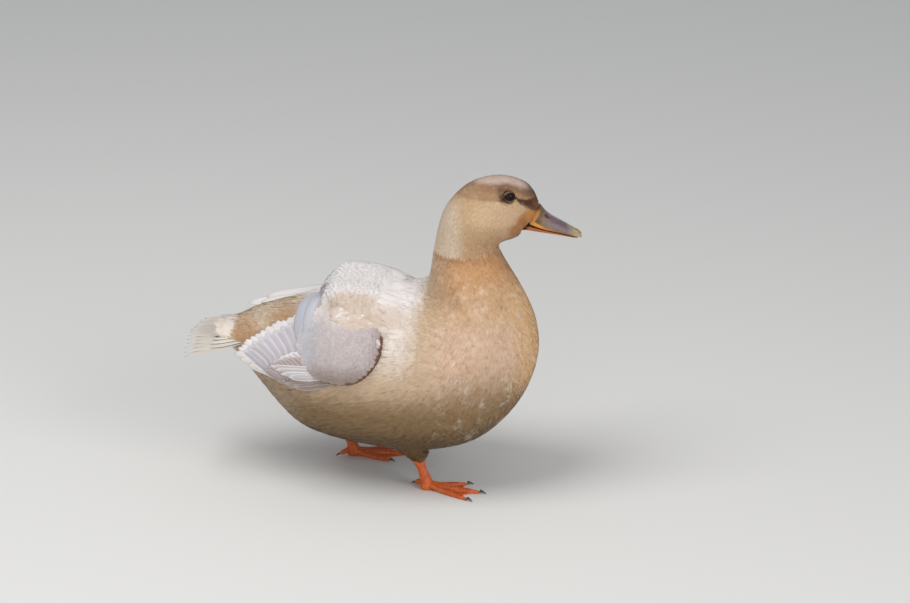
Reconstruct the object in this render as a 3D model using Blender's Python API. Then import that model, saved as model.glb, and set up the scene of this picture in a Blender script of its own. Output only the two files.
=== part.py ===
"""A domestic duck hen standing with her right foot forward and her head turned a little to her left.

Metres, +Z up, the floor at z = 0. The duck faces +X and her left side is +Y.
Trunk, neck and head are one lofted body parted by thin cuts; wings lie on a barrel round the trunk.
"""

import math

import bmesh
import bpy
import numpy as np
from mathutils import Matrix, Vector

# ---- driving dimensions ----
GAP = 0.0003  # clearance wherever two pieces meet
RING_POINTS = 24  # round the body
RINGS_PER_STATION = 2.0

HEAD_TURN = math.radians(23)  # towards her left
NECK_AXIS_X = 0.081  # the upright axis that the head turns about
TURN_STARTS, TURN_ENDS = 10.0, 15.5  # stations between which the neck twists

EYE = {"x": 0.1205, "out": 0.0140, "z": 0.2932, "radius": 0.0060}
NOSTRIL = {"x": 0.1620, "out": 0.0074, "z": 0.2675}
NAIL = {"x": 0.1934, "z": 0.2478, "half": (0.0052, 0.0036, 0.0014), "slope": math.radians(42)}

SIDES = {"right": -1, "left": 1}
UP, SIDEWAYS = Vector((0, 0, 1)), Vector((0, 1, 0))
ANKLE = {"right": (0.048, -0.040), "left": (-0.038, 0.040)}
HOCK_BACK = {"right": 0.010, "left": 0.013}  # how far the hock lies behind the ankle
HOCK_HEIGHT = {"right": 0.0345, "left": 0.0390}
TOE_OUT = math.radians(7)
ANKLE_HEIGHT = 0.0125
WEB_THICKNESS = 0.0014

# Each station joins a point on the upper outline to one on the lower outline:
# (upper x, upper z, lower x, lower z, half width, how far the widest place lies below the middle)
STATIONS = np.array([
    (-0.1510, 0.1560, -0.1470, 0.1270, 0.0300, 0.00),  # 0 tail root
    (-0.1280, 0.1680, -0.1250, 0.1010, 0.0460, 0.00),  # 1 rump
    (-0.1000, 0.1770, -0.1020, 0.0730, 0.0610, 0.02),  # 2 vent
    (-0.0700, 0.1850, -0.0790, 0.0520, 0.0740, 0.04),  # 3 hips
    (-0.0350, 0.1920, -0.0430, 0.0400, 0.0825, 0.06),  # 4 thighs
    (0.0000, 0.1980, 0.0050, 0.0330, 0.0855, 0.08),  # 5 belly
    (0.0230, 0.2010, 0.0520, 0.0325, 0.0850, 0.08),  # 6 keel
    (0.0360, 0.2040, 0.0930, 0.0430, 0.0810, 0.06),  # 7 lower breast
    (0.0420, 0.2070, 0.1230, 0.0670, 0.0745, 0.04),  # 8 breast
    (0.0450, 0.2130, 0.1440, 0.0980, 0.0665, 0.02),  # 9 full breast
    (0.0465, 0.2195, 0.1545, 0.1350, 0.0580, 0.00),  # 10 foremost breast
    (0.0475, 0.2265, 0.1510, 0.1680, 0.0490, 0.00),  # 11 crop
    (0.0485, 0.2340, 0.1390, 0.1960, 0.0405, 0.00),  # 12 neck base
    (0.0500, 0.2420, 0.1250, 0.2200, 0.0340, 0.00),  # 13 lower neck
    (0.0520, 0.2515, 0.1145, 0.2385, 0.0300, 0.00),  # 14 narrowest neck
    (0.0545, 0.2640, 0.1140, 0.2432, 0.0288, 0.00),  # 15 nape
    (0.0590, 0.2790, 0.1172, 0.2456, 0.0288, 0.04),  # 16 throat
    (0.0680, 0.2930, 0.1205, 0.2464, 0.0284, 0.08),  # 17 hind crown
    (0.0830, 0.3060, 0.1240, 0.2466, 0.0268, 0.12),  # 18 cheeks
    (0.1010, 0.3125, 0.1272, 0.2468, 0.0240, 0.13),  # 19 crown
    (0.1200, 0.3130, 0.1300, 0.2472, 0.0205, 0.12),  # 20 eyes
    (0.1385, 0.3065, 0.1322, 0.2482, 0.0168, 0.10),  # 21 brow
    (0.1490, 0.2955, 0.1335, 0.2502, 0.0136, 0.08),  # 22 lores
    (0.1560, 0.2815, 0.1345, 0.2535, 0.0112, 0.05),  # 23 feather edge at the bill
])
TRUNK_ENDS, NECK_ENDS, HEAD_ENDS = 10.6, 14.2, 23.0

# The bill, from its base to its tip: (ridge x, ridge z, cutting edge x, cutting edge z, half width)
UPPER_BILL = np.array([
    (0.1566, 0.2808, 0.1420, 0.2628, 0.0112),
    (0.1612, 0.2742, 0.1490, 0.2588, 0.0103),
    (0.1672, 0.2682, 0.1575, 0.2553, 0.0099),
    (0.1742, 0.2632, 0.1670, 0.2521, 0.0101),
    (0.1815, 0.2580, 0.1770, 0.2488, 0.0107),
    (0.1885, 0.2526, 0.1860, 0.2456, 0.0105),
    (0.1940, 0.2478, 0.1930, 0.2431, 0.0080),
    (0.1972, 0.2442, 0.1970, 0.2416, 0.0036),
])
# (cutting edge x, z, underside x, z, half width)
LOWER_BILL = np.array([
    (0.1417, 0.2624, 0.1366, 0.2556, 0.0106),
    (0.1488, 0.2583, 0.1468, 0.2531, 0.0095),
    (0.1575, 0.2548, 0.1563, 0.2508, 0.0090),
    (0.1670, 0.2516, 0.1664, 0.2485, 0.0092),
    (0.1770, 0.2483, 0.1766, 0.2458, 0.0097),
    (0.1858, 0.2451, 0.1855, 0.2433, 0.0092),
    (0.1918, 0.2428, 0.1917, 0.2416, 0.0062),
])

# The barrel that the folded wings lie on: (x, middle height, half width, half height)
BARREL = np.array([
    (0.040, 0.1180, 0.0850, 0.0870),
    (0.010, 0.1170, 0.0885, 0.0885),
    (-0.035, 0.1165, 0.0910, 0.0850),
    (-0.080, 0.1200, 0.0820, 0.0690),
    (-0.120, 0.1260, 0.0690, 0.0500),
    (-0.160, 0.1310, 0.0560, 0.0360),
])
BARREL_RADIUS = 0.08  # roughly, to turn a clearance into an angle
COVERTS = {"x": -0.029, "angle": 33, "half_x": 0.0370, "half_angle": 27, "rise": 0.0085}
COVERTS_DEPTH, TERTIALS_DEPTH, TERTIALS_BED = 0.011, 0.0010, 0.017  # inwards from the barrel
TERTIALS = {"x": -0.066, "angle": 62, "half_x": 0.0190, "half_angle": 25, "rise": 0.0035}
SCAPULARS = {"middle": (-0.034, 0.031, 0.1755), "front": 0.075, "rear": 0.031, "half": (0.042, 0.0310),
             "blunt": 0.75}
FLIGHT_TIPS = np.array([  # (x, angle), from the lower edge over the wing tip and up to the tertials
    (-0.114, 0), (-0.1430, 16), (-0.1350, 25), (-0.1260, 33), (-0.1170, 40), (-0.1060, 46), (-0.0900, 49),
])
FLIGHT_ROOTS = {"x": -0.058, "low": 6, "high": 46}
FLIGHT_FEATHERS = 8
WING_LIFT = {"right": 0, "left": 14}  # degrees that each wing's tips are held higher

TAIL = {"root_x": -0.1450, "root_z": 0.1460, "half_root": 0.028, "tip_z": 0.1375, "half_tip": 0.0600,
        "centre_tip_x": -0.1960, "side_tip_x": -0.1900, "skew": 0.0045,
        "sag": 0.003, "droop": 0.004}
TAIL_FEATHERS = 13

# colour, roughness, metallic
FINISHES = {
    "plumage": ((0.62, 0.42, 0.22), 0.85, 0.0),
    "wing": ((0.72, 0.66, 0.62), 0.80, 0.0),
    "bill": ((0.30, 0.22, 0.13), 0.40, 0.0),
    "eye": ((0.02, 0.012, 0.008), 0.05, 0.0),
    "leg": ((0.80, 0.16, 0.02), 0.50, 0.0),
    "claw": ((0.10, 0.06, 0.04), 0.35, 0.0),
}


def clear_scene():
    for thing in list(bpy.data.objects):
        bpy.data.objects.remove(thing)


def finish_of(kind):
    material = bpy.data.materials.get(kind)
    if material is None:
        colour, roughness, metallic = FINISHES[kind]
        material = bpy.data.materials.new(kind)
        material.use_nodes = True
        shader = material.node_tree.nodes["Principled BSDF"]
        shader.inputs["Base Color"].default_value = (*colour, 1.0)
        shader.inputs["Roughness"].default_value = roughness
        shader.inputs["Metallic"].default_value = metallic
        material.diffuse_color = (*colour, 1.0)
    return material


def object_from(name, mesh_builder, kind, helper=False):
    """One object from a bmesh; a helper is a cutter, or a shape that a union takes in."""
    bmesh.ops.remove_doubles(mesh_builder, verts=mesh_builder.verts, dist=1e-7)
    bmesh.ops.recalc_face_normals(mesh_builder, faces=mesh_builder.faces)
    mesh = bpy.data.meshes.new(name)
    mesh_builder.to_mesh(mesh)
    mesh_builder.free()
    mesh.shade_smooth()
    thing = bpy.data.objects.new(name, mesh)
    bpy.context.scene.collection.objects.link(thing)
    mesh.materials.append(finish_of(kind))
    if helper:
        thing.hide_render = True
        thing.display_type = "WIRE"
    return thing


def boolean(target, helper, operation="DIFFERENCE"):
    change = target.modifiers.new(helper.name, "BOOLEAN")
    change.operation = operation
    change.solver = "EXACT"
    change.object = helper


def spline(rows, t):
    """The Catmull-Rom curve through the rows, at t counted in rows."""
    last = len(rows) - 1
    i = min(max(int(math.floor(t)), 0), last - 1)
    f = t - i
    p1, p2 = rows[i], rows[i + 1]
    p0 = rows[i - 1] if i > 0 else 2 * p1 - p2
    p3 = rows[i + 2] if i + 2 <= last else 2 * p2 - p1
    return 0.5 * (2 * p1 + (p2 - p0) * f + (2 * p0 - 5 * p1 + 4 * p2 - p3) * f * f
                  + (3 * p1 - p0 - 3 * p2 + p3) * f ** 3)


def smooth_step(value):
    value = min(max(value, 0.0), 1.0)
    return value * value * (3 - 2 * value)


def turned(point, share=1.0):
    """A point of the straight duck, carried round by the head's turn."""
    angle = HEAD_TURN * share
    x, y = point[0] - NECK_AXIS_X, point[1]
    return Vector((NECK_AXIS_X + x * math.cos(angle) - y * math.sin(angle),
                   x * math.sin(angle) + y * math.cos(angle), point[2]))


def skin_rings(rings):
    """A closed surface over rings of equal length, with a flat cap at each end."""
    builder = bmesh.new()
    made = [[builder.verts.new(p) for p in ring] for ring in rings]
    count = len(made[0])
    for a, b in zip(made, made[1:]):
        for k in range(count):
            n = (k + 1) % count
            builder.faces.new((a[k], a[n], b[n], b[k]))
    builder.faces.new(made[0][::-1])
    builder.faces.new(made[-1])
    return builder


# ---- trunk, neck and head ----

def body_ring(t, grow=0.0, shift=0.0):
    """The cross-section at station t; grow swells it, shift moves it along the body."""
    ux, uz, lx, lz, half_width, low = spline(STATIONS, t)
    upper, lower = Vector((ux, 0, uz)), Vector((lx, 0, lz))
    middle, up = (upper + lower) / 2, (upper - lower) / 2
    along = Vector((up.z, 0, -up.x)).normalized()
    half_height = up.length + grow
    up.normalize()
    share = smooth_step((t - TURN_STARTS) / (TURN_ENDS - TURN_STARTS))
    ring = []
    for k in range(RING_POINTS):
        a = 2 * math.pi * k / RING_POINTS
        rise = math.cos(a) - low * math.sin(a) ** 2
        point = middle + up * half_height * rise + along * shift
        point.y = (half_width + grow) * math.sin(a)
        ring.append(turned(point, share))
    return ring


def body_piece(name, start, end, grow=0.0, helper=False, from_cut=True, to_cut=True):
    count = max(2, round((end - start) * RINGS_PER_STATION))
    rings = [body_ring(start + (end - start) * k / count, grow) for k in range(count + 1)]
    if from_cut:
        rings[0] = body_ring(start, grow, GAP / 2)
    if to_cut:
        rings[-1] = body_ring(end, grow, -GAP / 2)
    return object_from(name, skin_rings(rings), "plumage", helper)


def ellipsoid(name, middle, half, kind, grow=0.0, helper=False, rotation=None, segments=12):
    builder = bmesh.new()
    bmesh.ops.create_uvsphere(builder, u_segments=segments, v_segments=segments * 2 // 3, radius=1.0)
    size = Matrix.Diagonal((*(h + grow for h in half), 1.0))
    bmesh.ops.transform(builder, matrix=(rotation or Matrix.Identity(4)) @ size, verts=builder.verts)
    bmesh.ops.translate(builder, vec=middle, verts=builder.verts)
    return object_from(name, builder, kind, helper)


def eye(side_name, grow=0.0):
    middle = turned((EYE["x"], SIDES[side_name] * EYE["out"], EYE["z"]))
    name = f"eye_{side_name}" if grow == 0 else f"eye_socket_{side_name}"
    return ellipsoid(name, middle, (EYE["radius"],) * 3, "eye", grow, helper=grow > 0)


# ---- bill ----

def upper_bill_ring(row):
    """An arch from one cutting edge over the ridge to the other, and a shallow hollow underneath."""
    rx, rz, ex, ez, half_width = row
    arch, floor = 11, 4  # points over the arch, and steps across the hollow
    ring = []
    for k in range(arch):
        a = math.pi * k / (arch - 1)
        height = math.sin(a) ** 0.9
        ring.append(turned((ex + (rx - ex) * height, half_width * math.cos(a), ez + (rz - ez) * height)))
    for k in range(1, floor):
        y = half_width * (2 * k / floor - 1)
        hollow = 0.12 * (1 - (y / half_width) ** 2)
        ring.append(turned((ex + (rx - ex) * hollow, y, ez + (rz - ez) * hollow)))
    return ring


def lower_bill_ring(row):
    """A shallow trough: flat above, rounded beneath."""
    ex, ez, ux, uz, half_width = row
    ring = []
    trough, top = 9, 3  # points round the trough, and steps across the top
    for k in range(trough):
        a = math.pi * k / (trough - 1)
        depth = math.sin(a) ** 0.7
        ring.append(turned((ex + (ux - ex) * depth, half_width * math.cos(a), ez + (uz - ez) * depth)))
    for k in range(1, top):
        ring.append(turned((ex, half_width * (2 * k / top - 1), ez)))
    return ring


def bill_piece(name, rows, ring_of):
    steps = (len(rows) - 1) * 2
    rings = [ring_of(spline(rows, k * (len(rows) - 1) / steps)) for k in range(steps + 1)]
    return object_from(name, skin_rings(rings), "bill")


def nail(grow=0.0):
    """The horny plate at the bill's tip."""
    turn = Matrix.Rotation(HEAD_TURN, 4, "Z") @ Matrix.Rotation(NAIL["slope"], 4, "Y")
    middle = turned((NAIL["x"], 0, NAIL["z"]))
    name = "bill_nail" if grow == 0 else "nail_seat"
    return ellipsoid(name, middle, NAIL["half"], "claw", grow, helper=grow > 0, rotation=turn, segments=10)


def make_bill():
    upper = bill_piece("bill_upper", UPPER_BILL, upper_bill_ring)
    bill_piece("bill_lower", LOWER_BILL, lower_bill_ring)
    for side_name, side in SIDES.items():
        turn = Matrix.Rotation(HEAD_TURN, 4, "Z") @ Matrix.Rotation(math.radians(38), 4, "Y")
        middle = turned((NOSTRIL["x"], side * NOSTRIL["out"], NOSTRIL["z"]))
        pit = ellipsoid(f"nostril_{side_name}", middle, (0.0034, 0.0018, 0.0014), "bill", 0.0, True, turn, 9)
        boolean(upper, pit)
    boolean(upper, nail(GAP))
    nail()


# ---- wings, on the barrel round the trunk ----

def barrel_at(x):
    return [np.interp(x, BARREL[::-1, 0], BARREL[::-1, k]) for k in (1, 2, 3)]


def barrel_point(side, x, degrees, lift):
    """A point that far outside the barrel, at an angle up from the horizontal."""
    height, half_width, half_height = barrel_at(x)
    a = math.radians(degrees)
    return Vector((x, side * (half_width + lift) * math.cos(a), height + (half_height + lift) * math.sin(a)))


def shell_patch(name, side, shape, kind, depth, grow=0.0, helper=False):
    """A rounded patch of the barrel, domed outside and as deep as asked inside."""
    rings, spokes, edge = 4, 18, 0.0011
    builder = bmesh.new()
    wider = math.degrees(grow / BARREL_RADIUS)

    def row(share, lift):
        made = []
        for k in range(spokes):
            a = 2 * math.pi * k / spokes
            across, up = math.cos(a), math.sin(a)
            x = shape["x"] + (shape["half_x"] + grow) * across * share
            angle = shape["angle"] + (shape["half_angle"] + wider) * up * share
            made.append(builder.verts.new(barrel_point(side, x, angle, lift)))
        return made

    shares = [k / rings for k in range(1, rings + 1)]
    outer = [row(share, shape["rise"] * (1 - share ** 2.6) + edge + grow) for share in shares]
    inner = [row(share, -depth * (1 - share ** 4) - grow) for share in shares]
    top = builder.verts.new(barrel_point(side, shape["x"], shape["angle"], shape["rise"] + edge + grow))
    bottom = builder.verts.new(barrel_point(side, shape["x"], shape["angle"], -depth - grow))
    layers = [outer, inner]
    for k in range(spokes):
        n = (k + 1) % spokes
        builder.faces.new((top, outer[0][k], outer[0][n]))
        builder.faces.new((bottom, inner[0][n], inner[0][k]))
        builder.faces.new((outer[-1][k], inner[-1][k], inner[-1][n], outer[-1][n]))
        for layer in layers:
            for a, b in zip(layer, layer[1:]):
                builder.faces.new((a[k], b[k], b[n], a[n]))
    return object_from(name, builder, kind, helper)


def flight_feathers(name, side, lift):
    """Primaries and secondaries as one fan, each feather's tip standing clear of its neighbour's."""
    steps, notch, lift_out, lift_in = 3, 0.0055, 0.0003, -0.0012
    builder = bmesh.new()
    columns = 2 * FLIGHT_FEATHERS
    outer, inner = [], []
    for j in range(columns + 1):
        share = j / columns
        root = np.array((FLIGHT_ROOTS["x"],
                         FLIGHT_ROOTS["low"] + (FLIGHT_ROOTS["high"] - FLIGHT_ROOTS["low"]) * share))
        tip = spline(FLIGHT_TIPS, share * (len(FLIGHT_TIPS) - 1))
        tip = tip + np.array((notch if j % 2 == 0 else 0, lift))
        places = [root + (tip - root) * k / steps for k in range(steps + 1)]
        outer.append([builder.verts.new(barrel_point(side, p[0], p[1], lift_out)) for p in places])
        inner.append([builder.verts.new(barrel_point(side, p[0], p[1], lift_in)) for p in places])
    for j in range(columns):
        for k in range(steps):
            builder.faces.new((outer[j][k], outer[j][k + 1], outer[j + 1][k + 1], outer[j + 1][k]))
            builder.faces.new((inner[j][k], inner[j + 1][k], inner[j + 1][k + 1], inner[j][k + 1]))
        for k in (0, steps):
            builder.faces.new((outer[j][k], outer[j + 1][k], inner[j + 1][k], inner[j][k]))
    for j in (0, columns):
        for k in range(steps):
            builder.faces.new((outer[j][k], inner[j][k], inner[j][k + 1], outer[j][k + 1]))
    return object_from(name, builder, "wing")


def make_scapulars(side_name):
    """Half of the cape over the back, blunt behind and parted from the other half by a thin cut."""
    side = SIDES[side_name]
    x, y, z = SCAPULARS["middle"]
    half_y, half_z = SCAPULARS["half"]
    builder = bmesh.new()
    bmesh.ops.create_uvsphere(builder, u_segments=16, v_segments=10, radius=1.0)
    for vert in builder.verts:
        ahead = vert.co.x > 0
        behind = -SCAPULARS["rear"] * abs(vert.co.x) ** SCAPULARS["blunt"]
        along = SCAPULARS["front"] * vert.co.x if ahead else behind
        across = max(side * y + half_y * vert.co.y, side * GAP / 2, key=lambda value: side * value)
        vert.co = (x + along, across, z + half_z * vert.co.z)
    return object_from(f"scapulars_{side_name}", builder, "plumage")


def make_wing(side_name, trunk_cutter):
    side = SIDES[side_name]

    def patch(name, shape, depth, grow=0.0):
        return shell_patch(f"{name}_{side_name}", side, shape, "wing", depth, grow, helper=grow > 0)

    coverts = patch("wing_coverts", COVERTS, COVERTS_DEPTH)
    coverts_cutter = patch("coverts_cutter", COVERTS, COVERTS_DEPTH, GAP)
    tertials = patch("tertials", TERTIALS, TERTIALS_DEPTH)
    tertials_cutter = patch("tertials_cutter", TERTIALS, TERTIALS_BED, GAP)
    tertials_relief = patch("tertials_relief", TERTIALS, TERTIALS_DEPTH, GAP)
    flight = flight_feathers(f"flight_feathers_{side_name}", side, WING_LIFT[side_name])
    scapulars = make_scapulars(side_name)
    boolean(coverts, trunk_cutter)
    for cutter in (trunk_cutter, coverts_cutter, tertials_cutter):
        boolean(scapulars, cutter)
    boolean(tertials, coverts_cutter)
    boolean(flight, coverts_cutter)
    boolean(flight, tertials_relief)


# ---- tail ----

def make_tail(trunk_cutter):
    """A flat fan of pointed feathers, arched a little from side to side."""
    steps, notch, thick_root, thick_tip = 2, 0.0060, 0.0060, 0.0012
    builder = bmesh.new()
    columns = 2 * TAIL_FEATHERS
    layers = {1: [], -1: []}
    for j in range(columns + 1):
        across = 2 * j / columns - 1
        tip_x = TAIL["centre_tip_x"] + (TAIL["side_tip_x"] - TAIL["centre_tip_x"]) * across ** 2
        tip_x -= TAIL["skew"] * across
        if j % 2 == 0:
            tip_x += notch
        arch = -TAIL["droop"] * across ** 2
        root = Vector((TAIL["root_x"], across * TAIL["half_root"], TAIL["root_z"] + arch))
        tip = Vector((tip_x, across * TAIL["half_tip"], TAIL["tip_z"] + arch))
        for face, rows in layers.items():
            rows.append([])
            for k in range(steps + 1):
                share = k / steps
                thick = (thick_root + (thick_tip - thick_root) * share) * (1 - 0.5 * across ** 4)
                sag = TAIL["sag"] * math.sin(math.pi * share)
                rows[-1].append(builder.verts.new(root.lerp(tip, share) + UP * (face * thick / 2 - sag)))
    upper, lower = layers[1], layers[-1]
    for j in range(columns):
        for k in range(steps):
            builder.faces.new((upper[j][k], upper[j][k + 1], upper[j + 1][k + 1], upper[j + 1][k]))
            builder.faces.new((lower[j][k], lower[j + 1][k], lower[j + 1][k + 1], lower[j][k + 1]))
        for k in (0, steps):
            builder.faces.new((upper[j][k], upper[j + 1][k], lower[j + 1][k], lower[j][k]))
    for j in (0, columns):
        for k in range(steps):
            builder.faces.new((upper[j][k], lower[j][k], lower[j][k + 1], upper[j][k + 1]))
    tail = object_from("tail", builder, "plumage")
    boolean(tail, trunk_cutter)


# ---- legs and feet ----

TOES = {  # name: (degrees outwards from straight ahead, length, radius at its root)
    "inner_toe": (-27, 0.041, 0.0036),
    "middle_toe": (0, 0.054, 0.0040),
    "outer_toe": (24, 0.051, 0.0036),
}
TOE_FLATNESS = 0.62  # height of a toe's middle over the floor, in radii
WEB_REACH, WEB_SCALLOP = 0.96, 0.20  # of a toe's length
CLAW_LENGTH = 0.0065
# The hind toe's path in the foot's frame: (back, towards the other foot, up, radius)
HIND_TOE = ((0.0010, 0.0010, 0.0085, 0.0030), (0.0060, 0.0035, 0.0062, 0.0028),
            (0.0110, 0.0052, 0.0042, 0.0027), (0.0135, 0.0060, 0.0036, 0.0014))
HIND_CLAW = ((0.0139, 0.0060, 0.0036, 0.0013), (0.0158, 0.0068, 0.0030, 0.0010),
             (0.0177, 0.0075, 0.0012, 0.0003))
ANKLE_STUB = {"sole_ahead": 0.0018, "sole_up": 0.0004, "below": 0.0045,
              "radii": (0.0064, 0.0067, 0.0059, 0.0054)}
# Along the shank and along the thigh: (share of the way or distance, radius)
SHANK = ((0, 0.0053), (0.12, 0.0050), (0.3, 0.0046), (0.5, 0.0047), (0.68, 0.0055), (0.84, 0.0069),
         (0.94, 0.0072), (1.0, 0.0068))
THIGH = ((0.0, 0.0092), (0.004, 0.0120), (0.009, 0.0160), (0.016, 0.0200), (0.026, 0.0215))


def tube(points, radii, across, sides=12, squash=1.0):
    """Rings square to a path; squash narrows them along the vector across, which isn't along the path."""
    rings = []
    points = [Vector(p) for p in points]
    for k, (p, r) in enumerate(zip(points, radii)):
        ahead = (points[min(k + 1, len(points) - 1)] - points[max(k - 1, 0)]).normalized()
        u = (across - ahead * across.dot(ahead)).normalized()
        v = ahead.cross(u)
        angles = [2 * math.pi * n / sides for n in range(sides)]
        rings.append([p + u * r * squash * math.cos(a) + v * r * math.sin(a) for a in angles])
    return skin_rings(rings)


def toe_tip(frame, side, degrees, length):
    a = math.radians(degrees) * side
    return frame @ Vector((length * math.cos(a), length * math.sin(a), 0))


def make_foot(side_name):
    """Three webbed toes, the small hind toe and the ankle, flat underneath, and a claw on each toe."""
    side = SIDES[side_name]
    frame = Matrix.Translation((*ANKLE[side_name], 0)) @ Matrix.Rotation(side * TOE_OUT, 4, "Z")
    web_outline = [Vector((-0.002, 0, 0))]
    tips = [(degrees, length) for degrees, length, _ in TOES.values()]
    for (d0, l0), (d1, l1) in zip(tips, tips[1:]):
        for k in range(5):
            s = k / 4
            a = math.radians(d0 + (d1 - d0) * s) * side
            reach = (l0 + (l1 - l0) * s) * WEB_REACH * (1 - WEB_SCALLOP * math.sin(math.pi * s))
            web_outline.append(Vector((reach * math.cos(a), reach * math.sin(a), 0)))
    builder = bmesh.new()
    base = [builder.verts.new(frame @ p) for p in web_outline]
    face = builder.faces.new(base)
    lifted = bmesh.ops.extrude_face_region(builder, geom=[face])["geom"]
    verts = [g for g in lifted if isinstance(g, bmesh.types.BMVert)]
    bmesh.ops.translate(builder, vec=(0, 0, WEB_THICKNESS), verts=verts)
    foot = object_from(f"foot_{side_name}", builder, "leg")

    for toe, (degrees, length, radius) in TOES.items():
        shares = [k / 6 for k in range(7)]
        knuckle = [1 + 0.10 * math.cos(math.pi * 3 * s) for s in shares]
        radii = [radius * (1 - 0.38 * s) * n for s, n in zip(shares, knuckle)]
        radii[0], radii[-1] = radius * 1.1, radius * 0.42
        path = []
        for s, r in zip(shares, radii):
            spot = toe_tip(frame, side, degrees, length * s)
            path.append((spot.x, spot.y, max(r, radius * 0.5) * TOE_FLATNESS + 0.0035 * (1 - s) ** 3))
        helper = object_from(f"{toe}_{side_name}", tube(path, radii, UP, 8), "leg", helper=True)
        boolean(foot, helper, "UNION")
        make_claw(f"claw_{toe.split('_')[0]}_{side_name}", frame, side, degrees, length, radius * 0.46)

    joint, hock = leg_axis(side_name)
    axis = (hock - joint).normalized()
    sole = Vector((joint.x + ANKLE_STUB["sole_ahead"], joint.y, ANKLE_STUB["sole_up"]))
    below = joint - axis * ANKLE_STUB["below"]
    ankle = tube([sole, sole.lerp(below, 0.5), below, joint - axis * GAP], ANKLE_STUB["radii"], SIDEWAYS, 10)
    boolean(foot, object_from(f"ankle_{side_name}", ankle, "leg", helper=True), "UNION")

    def hind(rows, sides):
        path = [frame @ Vector((-back, -side * inward, up)) for back, inward, up, _ in rows]
        return tube(path, [row[-1] for row in rows], UP, sides)

    boolean(foot, object_from(f"hind_toe_{side_name}", hind(HIND_TOE, 8), "leg", helper=True), "UNION")
    object_from(f"claw_hind_{side_name}", hind(HIND_CLAW, 6), "claw")

    floor = bmesh.new()
    below_floor = Matrix.Translation((0, 0, -0.05)) @ Matrix.Diagonal((0.6, 0.6, 0.1, 1))
    bmesh.ops.create_cube(floor, size=1.0, matrix=below_floor)
    boolean(foot, object_from(f"floor_cutter_{side_name}", floor, "leg", helper=True))


def make_claw(name, frame, side, degrees, length, radius):
    root_height = radius * 1.35
    places, radii = [], []
    for k in range(4):
        s = k / 3
        spot = toe_tip(frame, side, degrees, length + GAP + CLAW_LENGTH * s)
        places.append((spot.x, spot.y, root_height * (1 - s) + 0.0006 + 0.0009 * math.sin(math.pi * s)))
        radii.append(radius * (1 - s) + 0.0003)
    object_from(name, tube(places, radii, UP, 6), "claw")


def leg_axis(side_name):
    """The ankle joint and the hock, which the shank runs between."""
    x, y = ANKLE[side_name]
    ankle = Vector((x - 0.0018, y, ANKLE_HEIGHT))
    hock = Vector((x - HOCK_BACK[side_name], y * 0.97, HOCK_HEIGHT[side_name]))
    return ankle, hock


def make_leg(side_name, trunk_cutter):
    ankle, hock = leg_axis(side_name)
    path = [ankle.lerp(hock, share) for share, _ in SHANK]
    object_from(f"shank_{side_name}", tube(path, [radius for _, radius in SHANK], SIDEWAYS, 12, 0.82), "leg")
    # The feathered thigh bulges out of the trunk and ends just above the hock.
    axis = (hock - ankle).normalized()
    path = [hock + axis * (GAP + distance) for distance, _ in THIGH]
    thigh = tube(path, [radius for _, radius in THIGH], SIDEWAYS, 16, 0.9)
    boolean(object_from(f"thigh_{side_name}", thigh, "plumage"), trunk_cutter)


# ---- the whole duck ----

def centre_on_floor():
    """Moves every piece so that the duck's box is centred on the origin, with its base at z = 0."""
    bpy.context.view_layer.update()
    graph = bpy.context.evaluated_depsgraph_get()
    corners = []
    for thing in bpy.context.scene.objects:
        if not thing.hide_render:
            shape = thing.evaluated_get(graph).to_mesh()
            corners += [tuple(v.co) for v in shape.vertices]
            thing.evaluated_get(graph).to_mesh_clear()
    corners = np.array(corners)
    middle = (corners.min(0) + corners.max(0)) / 2
    shift = Vector((-middle[0], -middle[1], -corners[:, 2].min()))
    for thing in bpy.context.scene.objects:
        thing.location += shift


def main():
    clear_scene()
    body_piece("trunk", 0.0, TRUNK_ENDS, from_cut=False)
    body_piece("neck", TRUNK_ENDS, NECK_ENDS)
    head = body_piece("head", NECK_ENDS, HEAD_ENDS)
    trunk_cutter = body_piece("trunk_cutter", 0.0, 12.0, GAP, True, from_cut=False, to_cut=False)
    for side_name in SIDES:
        boolean(head, eye(side_name, GAP))
        eye(side_name)
    make_bill()
    for side_name in SIDES:
        make_wing(side_name, trunk_cutter)
        make_foot(side_name)
        make_leg(side_name, trunk_cutter)
    make_tail(trunk_cutter)
    centre_on_floor()


main()
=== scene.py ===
# A standing duck hen: one skin under a coat of mesh feathers, folded wings, tail, bill, eyes and legs.
# Metres, +Z up. She faces +X with her left side at +Y, and her feet stand at z = 0.
# Rings run along the body from tail root to bill, and steps run round it from the top over her left side.

import math

import bmesh
import bpy
import numpy as np
from mathutils import Matrix, Vector
from mathutils.bvhtree import BVHTree
from mathutils.kdtree import KDTree


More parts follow.
